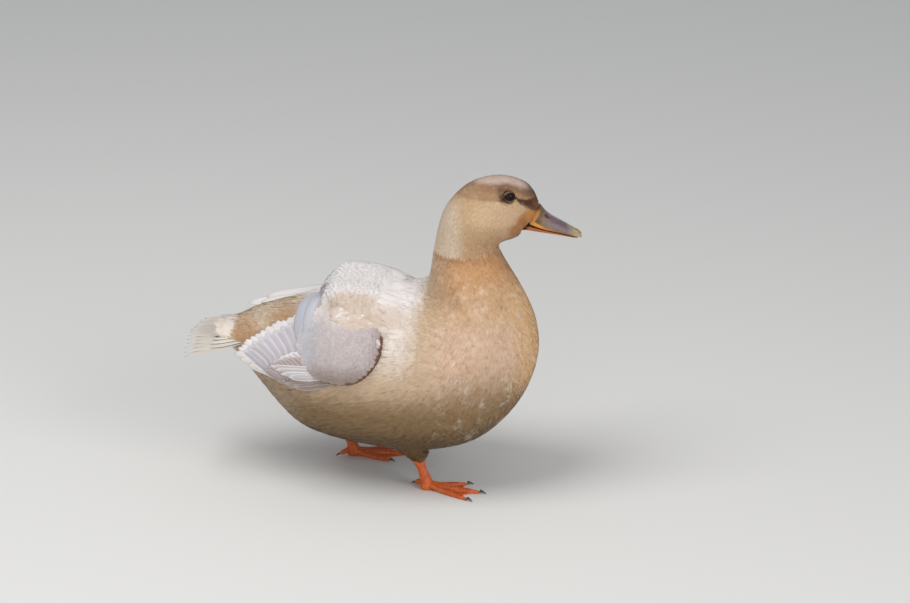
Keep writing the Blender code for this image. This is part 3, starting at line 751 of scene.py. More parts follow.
def featherMaterial(name, sheen, roughness=0.72, bump=0.00025, **looks):
    material, nodes, shader = newMaterial(name, (0.6, 0.45, 0.3), roughness, {
        "Specular IOR Level": 0.25, "Sheen Weight": sheen, "Sheen Roughness": 0.5})
    vane = nodes.group(featherVane, Ground=nodes.attribute("ground"), Vane=nodes.attribute("vane"),
                       Place=nodes.place(), Mottle=nodes.parts(nodes.attribute("marks"))[0])
    for key, value in looks.items():
        nodes.plug(vane, "".join(" " + c if c.isupper() else c for c in key).strip().title(), value)
    nodes.cover(shader, vane.outputs["Color"], vane.outputs["Height"], 0.6, bump)
    return material


# The markings: what colour the coat has where, as reflected light, with painted shade under her body and
# below the collar

coatColours = {
    "breast": (0.65, 0.455, 0.325), "breastHigh": (0.57, 0.37, 0.22), "breastFront": (0.70, 0.45, 0.22),
    "neck": (0.56, 0.31, 0.145), "neckLow": (0.40, 0.235, 0.12),
    # the low side's colour is partly its own browner tone and partly painted shade; the belly's is painted
    # shade under her body
    "side": (0.55, 0.405, 0.272), "sideLowAndShade": (0.235, 0.15, 0.070), "belly": (0.125, 0.070, 0.025),
    "vent": (0.42, 0.31, 0.21), "cream": (0.72, 0.635, 0.565), "white": (0.84, 0.80, 0.79),
    "fawn": (0.56, 0.42, 0.31), "rump": (0.48, 0.30, 0.17), "rumpPale": (0.58, 0.46, 0.34),
    "head": (0.53, 0.36, 0.205), "cheek": (0.64, 0.445, 0.275), "crown": (0.59, 0.455, 0.395),
    "crownSide": (0.27, 0.145, 0.085), "brow": (0.41, 0.25, 0.135), "eyeLine": (0.20, 0.10, 0.05),
    "loralStripe": (0.085, 0.030, 0.011), "loralBrown": (0.17, 0.062, 0.022),
    "underLores": (0.60, 0.27, 0.080), "cheekFront": (0.43, 0.185, 0.065),
    "chin": (0.44, 0.20, 0.07), "foreneck": (0.58, 0.38, 0.24), "nape": (0.62, 0.49, 0.36),
    # the collar's dark band is a painted shadow below the head's overhanging feathers
    "lowNeck": (0.46, 0.285, 0.155), "collarShade": (0.30, 0.13, 0.05),
}
# the collar's height as a share of hers, how soft its line is, and how far down the painted shadow under it
# reaches
collar = {"height": 0.757, "soft": 0.003, "shade": 0.020}


def layered(colours, palette, *layers):
    # lays a palette's named colours over others, each as strongly as its mask says
    for name, mask in layers:
        colours = colours + (np.array(palette[name]) - colours) * np.clip(mask, 0, 1)[:, None]
    return colours


def nearLine(points, start, end):
    # how far points lie from a straight line between two places, and how far along it
    start, end = np.asarray(start), np.asarray(end)
    way = end - start
    share = np.clip(((points - start) @ way) / (way @ way), 0, 1)
    return np.linalg.norm(points - (start + share[:, None] * way), axis=-1), share


def patchAt(points, middle, size, turn=0.0):
    # a soft oval spot in two directions: 1 at its middle, 0 beyond its edge
    d = points - np.asarray(middle)
    c, s = math.cos(turn), math.sin(turn)
    oval = np.hypot((d[:, 0] * c + d[:, 1] * s) / size[0], (d[:, 1] * c - d[:, 0] * s) / size[1])
    return ease(oval, 1.25, 0.55)


def headColours(points):
    forward, _, up = toHead(points).T
    flat = np.stack([forward, up], -1)
    line = -0.0016 + 0.08 * np.clip(-forward, 0, 0.06)
    below = ease(up - line, 0.0004, -0.0012)
    rim = 0.0120 + 0.04 * np.clip(-forward, 0, 0.05) - 0.38 * np.clip(forward, 0, 0.030)
    rimSide = ease(np.abs(up - rim + 0.001), 0.0060, 0.0015) * ease(forward, -0.050, 0.0)
    distance, share = nearLine(flat, (-0.016, 0.0002), (-0.0045, -0.0008))
    # the stripe before the eye widens to the bill
    middle = np.interp(forward, (0.006, 0.018, 0.030), (-0.0010, -0.0070, -0.0105))
    half = np.interp(forward, (0.006, 0.018, 0.030), (0.0016, 0.0048, 0.0080))
    begins = ease(forward, 0.0045, 0.0070)
    stripe = ease(np.abs(up - middle) / half, 1.12, 0.70) * begins
    core = ease(np.abs(up - middle - 0.0006) / half, 0.95, 0.35) * begins
    return layered(
        np.tile(coatColours["head"], (len(points), 1)), coatColours,
        ("foreneck", patchAt(flat, (-0.004, -0.046), (0.012, 0.022))),
        ("lowNeck", 0.8 * ease(up, -0.024, -0.044)),
        ("nape", ease(forward, -0.045, -0.058) * ease(up, 0.010, -0.010)),
        ("cheek", patchAt(flat, (-0.014, -0.013), (0.032, 0.015)) * below),
        ("cheekFront", patchAt(flat, (0.014, -0.025), (0.008, 0.010), -0.5)),
        ("chin", patchAt(flat, (0.010, -0.035), (0.014, 0.008), -0.3)),
        ("underLores", patchAt(flat, (0.023, -0.021), (0.010, 0.0060), -0.95)),
        ("underLores", ease(forward, 0.021, 0.026) * ease(up, -0.012, -0.016)),
        # a darker upper half, with a thin line behind the eye, under the cap
        ("brow", ease(up - line, -0.0006, 0.0010)),
        ("crownSide", 0.85 * rimSide),
        ("crown", ease(up - rim, 0.0, 0.0045)),
        ("eyeLine", 0.9 * ease(distance, 0.0017, 0.0005) * ease(share, 0.0, 0.6)),
        ("loralBrown", 0.9 * stripe),
        ("loralStripe", 0.95 * core * ease(forward, 0.032, 0.021)),
    )


def bodyColours(points):
    x, y, z = points.T
    side = np.abs(y)
    flat = np.stack([x, z], -1)
    edge = 0.036 - 0.10 * np.clip(0.165 - z, 0, 0.05) + 0.25 * np.clip(z - 0.19, 0, 0.02)
    cream = ease(x, edge + 0.016, edge - 0.010)
    behind = ease(x, -0.066, -0.078) * ease(z, 0.120, 0.134)
    spots = patchAt(flat, (-0.130, 0.148), (0.020, 0.016)) + patchAt(flat, (-0.090, 0.162), (0.022, 0.016))
    return layered(
        np.tile(coatColours["breast"], (len(points), 1)), coatColours,
        ("breastHigh", ease(z, 0.165, 0.190)),
        # the low side darker and browner: partly its own tone, partly painted shade towards her underside
        ("sideLowAndShade", 0.6 * ease(z, 0.150, 0.100)),
        ("breastFront", ease(x, 0.115, 0.150) * ease(side, 0.060, 0.015)),
        ("neckLow", ease(z, 0.185, 0.205) * ease(x, 0.100, 0.070)),
        ("neck", ease(z, 0.195, 0.225) * ease(x, 0.050, 0.090)),
        ("side", ease(x, 0.085, 0.035) * ease(z, 0.085, 0.125)),
        # lower still, more of that tone and painted shade
        ("sideLowAndShade", ease(z, 0.122, 0.082)),
        # the belly near black-brown: painted shade under her body over its buff
        ("belly", ease(z, 0.082, 0.052)),
        ("vent", ease(x, -0.060, -0.105) * ease(z, 0.125, 0.095)),
        # the creamy back, and the rump behind it
        ("cream", cream * ease(z, 0.118, 0.160)),
        ("white", 0.9 * cream * ease(z, 0.178, 0.194)),
        ("fawn", 0.7 * patchAt(flat, (-0.012, 0.186), (0.042, 0.013)) * ease(side, 0.030, 0.052)),
        ("white", 0.8 * patchAt(flat, (-0.020, 0.189), (0.009, 0.006)) * ease(side, 0.050, 0.060)),
        ("rumpPale", behind),
        ("rump", behind * np.clip(spots, 0, 1)),
        ("cream", ease(x, -0.146, -0.151)),
    )


def markings(points):
    # the coat's colour at each point, and how mottled it is
    points = np.asarray(points, float)
    height = points[:, 2] / duckHeight
    above = ease(height, collar["height"] - collar["soft"], collar["height"] + collar["soft"])
    # a band of painted shadow just below the collar, where the head's feathers overhang the neck's
    under = ease(height, collar["height"] - collar["shade"], collar["height"] - 0.004)
    colours = layered(bodyColours(points), coatColours, ("collarShade", 0.5 * under * (1 - above)))
    colours = colours + (headColours(points) - colours) * above[:, None]
    breast = ease(points[:, 0], 0.045, 0.085) * ease(height, 0.74, 0.66)
    crown = above * ease(height, 0.93, 0.97)
    mottle = np.clip(0.55 * breast + 0.35 * crown + 0.15 * above, 0, 1)
    return colours, np.stack([mottle, above, height], -1)


def paintMarkings(mesh, points):
    colours, marks = markings(points)
    paint(mesh, "ground", colours)
    paint(mesh, "marks", marks)


# The skin, under the coat

thigh = {"rings": 18, "steps": 36, "reach": 0.035, "depth": 1.6 * mm, "fringe": 30 * mm}
skinLooks = {"voxel": 2.2 * mm, "smoothed": 3}


def thighSurface(side):
    # rings round the leg's axis, from inside the belly down to the hock
    low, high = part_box(f"thigh_{side}")
    shankLow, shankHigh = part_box(f"shank_{side}")
    top = (low + high) / 2 + Vector((0, 0, 0.018))
    bottom = Vector(((shankLow.x + shankHigh.x) / 2, (shankLow.y + shankHigh.y) / 2, low.z + 0.0015))
    share = np.linspace(-0.25, 1.0, thigh["rings"] + 1)
    centres = np.array([list(top + (bottom - top) * s) for s in share])
    way = unit(centres[-1] - centres[0])
    ups = np.repeat(unit(np.cross(np.cross(way, (1, 0, 0)), way))[None], len(share), 0)
    acrosses = np.cross(way, ups)
    outer = castRings(solidTree([f"thigh_{side}"]), centres, ups, acrosses, thigh["steps"], thigh["reach"])
    # it narrows to the shank
    away = outer - centres[:, None]
    limit = np.interp(share, (0.3, 0.7, 1.0), (0.045, 0.0165, 0.0090))[:, None]
    outer = centres[:, None] + away * np.minimum(1, limit / np.linalg.norm(away, axis=-1))[..., None]
    outer, centres = outer[::-1], centres[::-1]
    skin = outer - gridNormals(outer, outer - centres[:, None]) * thigh["depth"]
    return finishSurface({"outer": outer, "skin": skin, "centres": centres})


def gridFaces(rings, steps):
    i, j = np.meshgrid(np.arange(rings - 1), np.arange(steps), indexing="ij")
    corner = lambda a, b: a * steps + b % steps
    corners = (corner(i, j), corner(i, j + 1), corner(i + 1, j + 1), corner(i + 1, j))
    return np.stack(corners, -1).reshape(-1, 4)


def closedTube(grid):
    # a grid's rings joined up, with both ends closed by a fan
    rings, steps = grid.shape[:2]
    points, faces = grid.reshape(-1, 3).tolist(), gridFaces(rings, steps).tolist()
    for ring, turned in ((0, False), (rings - 1, True)):
        centre = len(points)
        points.append(grid[ring].mean(0).tolist())
        for k in range(steps):
            a, b = ring * steps + k, ring * steps + (k + 1) % steps
            faces.append((a, b, centre) if turned else (b, a, centre))
    return points, faces


def joinedMesh(name, parts):
    points, faces = [], []
    for partPoints, partFaces in parts:
        start = len(points)
        points += partPoints
        faces += [tuple(start + k for k in f) for f in partFaces]
    mesh = bpy.data.meshes.new(name)
    mesh.from_pydata(points, [], faces)
    mesh.update()
    faceOutward(mesh, joined=1e-6)
    return linked(name, mesh)


def settled(piece, *modifiers):
    # puts modifiers on a piece and keeps only the mesh they make
    for kind, values in modifiers:
        modifier = piece.modifiers.new(kind.lower(), kind)
        for key, value in values.items():
            setattr(modifier, key, value)
    evaluated = piece.evaluated_get(bpy.context.evaluated_depsgraph_get())
    mesh = bpy.data.meshes.new_from_object(evaluated)
    piece.modifiers.clear()
    piece.data = mesh
    mesh.shade_smooth()


def skinMaterial():
    # what shows between feathers: the coat's own colour, deeper, in soft down
    material, nodes, shader = newMaterial("down", (0.4, 0.3, 0.2), 0.9)
    fuzz = nodes.noise(nodes.place(), 900.0, 3.0, 0.6)
    ground = nodes.group(grainedGround, Ground=nodes.attribute("ground"), Grain=fuzz, Low=0.25, High=0.75,
                         Dark=0.86, Light=1.0)
    nodes.cover(shader, ground.outputs["Color"], fuzz, 0.5, 0.0006)
    return material


def makeSkin():
    skin = joinedMesh("skin", [closedTube(shape["skin"]) for shape in (body, *thighs.values())])
    settled(skin, ("REMESH", {"mode": "VOXEL", "voxel_size": skinLooks["voxel"]}),
            ("SMOOTH", {"factor": 0.5, "iterations": skinLooks["smoothed"]}))
    paintMarkings(skin.data, pointsOf(skin.data))
    skin.data.materials.append(skinMaterial())
    standing(skin, "plumage", *flesh)
    print(f"skin: {len(skin.data.polygons)} faces")


thighs = {side: thighSurface(side) for side in sides}
makeSkin()


# The coat of the body, neck and head

coatLooks = {
    # vanes by size: how many strands and rows, and where the strands part
    "fine": vaneShape(3, 2, 0.38), "small": vaneShape(4, 3, 0.38),
    "middle": vaneShape(5, 3, 0.38), "large": vaneShape(7, 4, 0.40),
}
eyeOpening = {"length": 8.6 * mm, "height": 6.0 * mm, "near": 11 * mm}
# The coat's pieces: the stations that each runs from and to, the part of the rings it takes, and its vanes
coatRegions = {
    "coat_face": (17.2, 22, "all", "fine"), "coat_crown": (14.6, 17.2, "all", "fine"),
    "coat_throat": (11.8, 14.6, "all", "small"), "coat_neck": (9.4, 11.8, "all", "middle"),
    "coat_breast_right": (5.6, 9.4, "right", "large"), "coat_breast_left": (5.6, 9.4, "left", "large"),
    "coat_belly": (0, 5.6, "under", "large"),
    "coat_side_right": (0, 5.6, "rightSide", "large"), "coat_side_left": (0, 5.6, "leftSide", "large"),
}


def angleOf(step):
    return step * 2 * math.pi / bodyGrid["steps"]


def nearestParts(points, groups):
    # which group of nodes each point lies nearest to
    trees = [solidTree(nodes) for nodes in groups]
    near = [[tree.find_nearest(Vector(p))[3] for p in points] for tree in trees]
    return np.argmin(np.array(near), 0)


def coveredBy(points, normals, nodes, reach):
    # whether the solids of those nodes lie over each point
    tree = solidTree(nodes)
    return np.array([tree.ray_cast(Vector(p - n * mm), Vector(n), reach)[0] is not None
                     for p, n in zip(points, normals)])


def clearOfEyes(place, forward, length):
    # shortens feathers that would lie over an eye, and says which stay clear of it
    for side in sides:
        limit = length.copy()
        for share in np.linspace(1, 0, 12):
            away = place + forward * (length * share)[:, None] - eyePlace(side)
            near = np.linalg.norm(away, axis=-1) < eyeOpening["near"]
            oval = np.hypot(away @ headAhead / eyeOpening["length"], away[:, 2] / eyeOpening["height"]) * 2
            inside = oval < 1
            limit = np.where(inside & near, length * share * 0.95 - 0.0002, limit)
        length = np.minimum(length, limit)
    return length, length > 0.0009


def coatCells():
    # each cell of the body's grid: covered by the folded wings' long feathers or not, and on which part
    outer, normal = body["outer"], body["normal"]
    rings, steps = outer.shape[:2]
    quills = [f"{part}_{side}" for side in sides for part in ("flight_feathers", "tertials")]
    groups = [["trunk"], ["scapulars_right", "scapulars_left"], ["wing_coverts_right", "wing_coverts_left"]]
    covered = np.zeros((rings, steps), bool)
    parts = np.zeros((rings, steps), int)
    behind = body["stations"] < 3.2
    hidden = coveredBy(outer[behind].reshape(-1, 3), normal[behind].reshape(-1, 3), quills, 0.03)
    covered[behind] = hidden.reshape(-1, steps)
    trunkRings = body["stations"] < 6
    parts[trunkRings] = nearestParts(outer[trunkRings].reshape(-1, 3), groups).reshape(-1, steps)
    return covered, parts


def makeCoat(covered, parts):
    rng = np.random.default_rng(11)
    stations = body["stations"]
    rings, steps = body["outer"].shape[:2]
    spacing = np.repeat(alongTable("spacing", stations)[:, None], steps, 1)
    # shorter and closer over the back's front
    onBack = np.cos(angleOf(np.arange(steps)))[None] * ease(np.abs(stations - 5.5), 3.5, 2.0)[:, None]
    spacing = spacing * (1 - 0.22 * ease(onBack, 0.35, 0.7))
    deep = blurred(covered.astype(float), 1, 1) > 0.95
    bare = blurred((parts > 0).astype(float), 1, 1) > 0.8
    ring, step = scatter(body, spacing, ~deep & ~bare, rng)
    count = len(ring)
    station = np.interp(ring, np.arange(rings), stations)
    length = alongTable("length", station) * rng.uniform(0.85, 1.15, count)
    width = alongTable("width", station) * rng.uniform(0.9, 1.1, count)
    length = length * (1 - 0.4 * ease(onGrid(onBack[..., None], ring, step)[:, 0], 0.35, 0.7))
    place = onGrid(body["outer"], ring, step)
    forward = -unit(onGrid(body["alongStep"], ring, step))
    angle = angleOf(step)
    # the sides' feathers droop towards the belly, most of all behind the legs
    droop = np.interp(station, (0, 2, 4, 6, 8, 10, 12, 21), (0.1, 0.35, 0.55, 0.35, 0.1, 0.0, 0.1, 0.0))
    droop = droop * np.sin(angle) * (0.35 + 0.65 * ease(-np.cos(angle), -0.8, 0.3))
    sweep = droop + rng.normal(0, 0.07, count)
    headward = station > 14.5
    length[headward], clear = clearOfEyes(place[headward], forward[headward], length[headward])
    good = np.ones(count, bool)
    good[np.flatnonzero(headward)[~clear]] = False
    right = angle > math.pi
    low = np.abs(angle - math.pi) < math.radians(62)
    around = {"all": good, "right": right, "left": ~right, "under": low,
              "rightSide": ~low & right, "leftSide": ~low & ~right}
    for name, (start, end, part, shape) in coatRegions.items():
        pick = (station >= start) & (station < end) & around[part] & good
        # brow and cheek feathers rise to the lids, and those of the forehead to the bill
        away = [np.linalg.norm(place[pick] - eyePlace(side), axis=-1) for side in sides]
        stand = rng.uniform(0.92, 1.05, pick.sum()) + 0.6 * ease(np.minimum(*away), 0.0120, 0.0070)
        ahead, _, up = toHead(place[pick]).T
        stand = stand + 1.2 * ease(ahead, 0.018, 0.028) * ease(up, -0.012, -0.004)
        layer = layFeathers(body, ring[pick], step[pick], length[pick], width[pick], coatLooks[shape], rng,
                            sweep=sweep[pick], stand=stand)
        featherPiece(name, body, [layer], coatMaterial, "plumage")


cape = {"spacing": 5.2 * mm, "length": (26 * mm, 40 * mm), "width": (9 * mm, 12 * mm)}
capeVane = vaneShape(9, 7, 0.80)


def makeCape(parts, side):
    # long smooth feathers over the back, towards the hump at the wings' roots
    rng = np.random.default_rng(71 + sides[side])
    stations = body["stations"][:, None]
    angle = angleOf(np.arange(parts.shape[1]))[None]
    half = (np.sin(angle) > 0) == (side == "left")
    onTop = (parts == 0) & (np.cos(angle) > 0.62) & (stations > 2.4)
    zone = ((parts == 1) | onTop) & (stations < 4.6) & (stations > 1.3) & half
    zone = zone & (blurred((parts == 2).astype(float), 1, 1) < 0.7)
    ring, step = scatter(body, cape["spacing"], zone, rng)
    count = len(ring)
    share = ease(np.interp(ring, np.arange(len(stations)), stations[:, 0]), 4.4, 2.6)
    length, width = (low + (high - low) * share for low, high in (cape["length"], cape["width"]))
    length = length * rng.uniform(0.85, 1.1, count)
    width = width * rng.uniform(0.9, 1.1, count)
    layer = layFeathers(body, ring, step, length, width, capeVane, rng, stand=rng.uniform(1.0, 1.25, count),
                        sweep=rng.normal(0, 0.05, count), ragged=0.10, spread=0.15, curl=0.02, round=0.30,
                        narrow=0.4)
    featherPiece(f"cape_{side}", body, [layer], capeMaterial, "plumage")


thighCoat = {"spacing": 2.2 * mm, "vane": coatLooks["small"], "shape": {}, "drawn": {
    "length": ("uniform", 6.5, 9.0), "width": ("uniform", 2.8, 3.8), "sweep": ("normal", 0, 0.1),
    "stand": ("uniform", 0.9, 1.1)}}


def makeThighCoat(side):
    low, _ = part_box(f"thigh_{side}")
    zone = thighs[side]["outer"][..., 2] < low.z + thigh["fringe"]
    rng = np.random.default_rng(51 + sides[side])
    growPiece(f"coat_thigh_{side}", thighs[side], zone, rng, thighCoat, coatMaterial)


covered, parts = coatCells()
coatMaterial = featherMaterial("coat", sheen=0.08, rootShade=0.12)
makeCoat(covered, parts)
for side in sides:
    makeThighCoat(side)
capeMaterial = featherMaterial("cape", roughness=0.6, bump=0.00012, sheen=0.06, streaks=0.10, variation=0.06,
                               rootShade=0.05, fringe=0.1, barbs=50.0)
for side in sides:
    makeCape(parts, side)


# The folded wings

# Their shell round the body: (share of her length, its axis as a share of her height, height to width)
wingAxis = np.array([(-0.405, 0.418, 0.643), (-0.301, 0.402, 0.725), (-0.197, 0.383, 0.841),
                     (-0.081, 0.3715, 0.934), (0.036, 0.373, 1.0), (0.113, 0.376, 1.02)])
wingGrid = {"front": 0.07, "rear": -0.42, "rings": 76, "low": -20, "high": 110, "steps": 66,
            "castFrom": 0.15, "castOver": 0.11}
wingLift = {"right": 0, "left": 3}  # degrees that the tips of each wing's quills are held higher


def wingRays(x, degrees):
    # the axis and the outward direction at a place on the right wing
    share = x / duckLength
    middle, ratio = (np.interp(share, wingAxis[:, 0], wingAxis[:, k]) for k in (1, 2))
    turn = np.radians(degrees)
    out = unit(np.stack([0 * x, -np.cos(turn), np.sin(turn) * ratio], -1))
    return np.stack([x, 0 * x, middle * duckHeight], -1), out


wingShare = np.linspace(wingGrid["front"], wingGrid["rear"], wingGrid["rings"])[:, None]
wingDegrees = np.linspace(wingGrid["low"], wingGrid["high"], wingGrid["steps"])[None]
wingCentre, wingOut = wingRays(wingShare * duckLength + 0 * wingDegrees, wingDegrees + 0 * wingShare)


def wingShell(parts):
    # how far from the axis these nodes of the wings reach, the same on both sides, and where they are
    rings, steps = wingOut.shape[:2]
    reach = np.full((rings, steps), np.nan)
    for side, sign in sides.items():
        tree = solidTree([f"{part}_{side}" for part in parts])
        mirror = np.array((1, -sign, 1))
        for i, k in np.ndindex(rings, steps):
            start = Vector((wingCentre[i, k] + wingOut[i, k] * wingGrid["castFrom"]) * mirror)
            hit, _, _, far = tree.ray_cast(start, Vector(-wingOut[i, k] * mirror), wingGrid["castOver"])
            if hit is not None:
                reach[i, k] = np.nanmax([reach[i, k], wingGrid["castFrom"] - far])
    there = ~np.isnan(reach)
    for _ in range(200):
        missing = np.isnan(reach)
        if not missing.any():
            break
        padded = np.pad(reach, 1, constant_values=np.nan)
        near = np.stack([padded[a:a + rings, b:b + steps] for a in range(3) for b in range(3)])
        known = ~np.isnan(near).all(0)
        reach = np.where(missing & known, np.nanmean(np.where(known, near, 0), 0), reach)
    return blurred(reach, 1.5, 1.5, closed=False), there


print("wings: casting their shell")
shell, _ = wingShell(("flight_feathers", "tertials"))
arc = 0.082  # metres round the shell for each radian, to lay feathers out flat


def wingPlace(value, low, high, count):
    # where a value lies among a count of even steps
    return np.clip((value - low) / (high - low) * (count - 1), 0, count - 1.001)


def onShell(side, flat, height):
    # a place on a wing: flat holds metres along her and metres round the shell from its horizontal
    x = flat[..., 0]
    degrees = np.degrees(flat[..., 1] / arc)
    i = wingPlace(x / duckLength, wingGrid["front"], wingGrid["rear"], wingGrid["rings"])
    j = wingPlace(degrees, wingGrid["low"], wingGrid["high"], wingGrid["steps"])
    a, b = i.astype(int), j.astype(int)
    f, g = i - a, j - b
    reach = ((shell[a, b] * (1 - f) + shell[a + 1, b] * f) * (1 - g)
             + (shell[a, b + 1] * (1 - f) + shell[a + 1, b + 1] * f) * g)
    centre, out = wingRays(x, degrees)
    return (centre + out * (reach + height)[..., None]) * np.array((1, -sides[side], 1))


def wingFlat(table):
    # rows of (share of her length, degrees up the shell) as metres on the flat layout
    table = np.asarray(table, float)
    return np.stack([table[:, 0] * duckLength, np.radians(table[:, 1]) * arc], -1)


quillGrid = {"rows": 15, "columns": np.array((-1, -0.86, -0.6, -0.3, -0.07, 0, 0.07, 0.3, 0.6, 0.86, 1))}


def quillFaces():
    # two layers joined round the edge
    rows, columns = quillGrid["rows"], len(quillGrid["columns"])
    top = gridStrips(rows, columns, 0)
    bottom = gridStrips(rows, columns, rows * columns)[:, ::-1]
    rim = ([(0, k) for k in range(columns)] + [(r, columns - 1) for r in range(1, rows)]
           + [(rows - 1, k) for k in range(columns - 2, -1, -1)] + [(r, 0) for r in range(rows - 2, 0, -1)])
    edge = np.array([r * columns + k for r, k in rim])
    after = np.roll(edge, -1)
    walls = np.stack([edge, edge + rows * columns, after + rows * columns, after], -1)
    quads = np.concatenate([top, bottom, walls])
    return np.concatenate([quads[:, [0, 1, 2]], quads[:, [0, 2, 3]]])


def gridStrips(rows, columns, start):
    r, k = np.meshgrid(np.arange(rows - 1), np.arange(columns - 1), indexing="ij")
    corner = start + r * columns + k
    return np.stack([corner, corner + columns, corner + columns + 1, corner + 1], -1).reshape(-1, 4)


def quill(root, tip, width, rng, outer=1.0, bend=0.0, rounding=0.22, blunt=0.5, sharp=0.5, tilt=0.6 * mm,
          camber=0.5 * mm, thick=0.30 * mm, ragged=0.02, narrow=0.35, exposed=-1):
    # one long feather on a flat layout: its places there, its heights, and where each point is on the vane.
    # outer is the width of the exposed web to the other's; exposed says which side of it that is
    v = np.linspace(0, 1, quillGrid["rows"])[:, None]
    u = quillGrid["columns"][None, :]
    forward = unit(tip - root)
    beside = np.array((-forward[1], forward[0])) * exposed
    length = np.linalg.norm(tip - root)
    # the outline: narrow at the root, full along the middle, and closed round the tip
    end = 1 - rounding
    fullness = narrow + (1 - narrow) * ease(v, 0.0, 0.4)
    fullness = fullness * np.clip(1 - ((v - end) / rounding).clip(0, 1) ** (1 / blunt), 0.02, 1) ** sharp
    notch = 1 - ragged * rng.random((quillGrid["rows"], 1)) * (v > 0.3)
    webs = np.where(u > 0, 2 * outer / (1 + outer), 2 / (1 + outer))
    out = u * fullness * notch * webs * width / 2
    along = v * length + 0 * u
    bow = bend * length * (v - v ** 2) * 4
    flat = root + forward * along[..., None] + beside * (out + bow)[..., None]
    shaft = 0.12 * mm * np.exp(-(u / 0.06) ** 2) * (1 - 0.7 * v)
    height = tilt * u * ease(v, 0.0, 0.25) - camber * u ** 2 + shaft
    flats = np.concatenate([flat.reshape(-1, 2)] * 2)
    heights = np.concatenate([height.ravel(), (height - thick - shaft).ravel()])
    place = np.stack(np.broadcast_arrays(u * np.ones_like(v), v * np.ones_like(u)), -1).reshape(-1, 2)
    return flats, heights, np.concatenate([place, place])


class QuillPiece:
    # gathers long feathers into one piece; each has its own strip of the bake's map
    def __init__(self, name, material, slot, count):
        self.name, self.material, self.slot, self.count = name, material, slot, count
        self.points, self.vanes, self.grounds, self.flats = [], [], [], []

    def add(self, points, place, chance, colour, edge):
        # colour at the vane's middle, and edge along its rim and tip
        u, v = place.T
        number = len(self.points)
        rim = np.maximum(ease(np.abs(u), 0.55, 0.95), ease(v, 0.86, 0.97))[:, None]
        self.points.append(points)
        self.vanes.append(np.stack([u, v, np.full(len(u), chance)], -1))
        self.grounds.append(np.array(colour) + (np.array(edge) - np.array(colour)) * rim)
        columns = math.ceil(math.sqrt(self.count * 3))
        rows = math.ceil(self.count / columns)
        cell = np.array((number % columns, number // columns)) + 0.5
        self.flats.append((cell + place * (0.42, 0.86) - (0, 0.43)) / (columns, rows))

    def finish(self, *nodes):
        size = len(self.points[0])
        faces = np.concatenate([quillFaces() + k * size for k in range(len(self.points))])
        piece = meshPiece(self.name, np.concatenate(self.points), faces, self.material)
        paint(piece.data, "vane", np.concatenate(self.vanes))
        paint(piece.data, "ground", np.concatenate(self.grounds))
        paint(piece.data, "marks", np.zeros((size * len(self.points), 3)))
        bakeMap(piece.data, faces, np.concatenate(self.flats))
        faceOutward(piece.data)
        standing(piece, self.slot, *nodes)
        print(f"quills: {self.name}, {len(self.points)} feathers, {len(faces)} triangles")


wingColours = {
    "lilac": (0.455, 0.42, 0.46), "grey": (0.35, 0.275, 0.27), "white": (0.71, 0.67, 0.665),
    "bandWhite": (0.50, 0.465, 0.47), "pale": (0.58, 0.545, 0.565), "cream": (0.72, 0.67, 0.58),
    "blueGrey": (0.465, 0.48, 0.54),
    "brownGrey": (0.30, 0.235, 0.20), "paleGrey": (0.47, 0.405, 0.38),
    "shield": (0.50, 0.435, 0.43), "shieldBlue": (0.45, 0.44, 0.475), "shieldPale": (0.62, 0.56, 0.53),
    # the shield's dark reddish-brown rim colour is partly its down's own colour and partly painted shadow
    # under its edge
    "shieldLow": (0.33, 0.255, 0.23), "shieldRustShadow": (0.15, 0.065, 0.032),
    "tailCovert": (0.70, 0.645, 0.58), "tail": (0.58, 0.535, 0.47), "tailEdge": (0.63, 0.585, 0.52),
    "cape": (0.80, 0.765, 0.755), "capeFawn": (0.56, 0.44, 0.345), "capeCream": (0.72, 0.645, 0.58),
    "capeShade": (0.37, 0.31, 0.33),
}

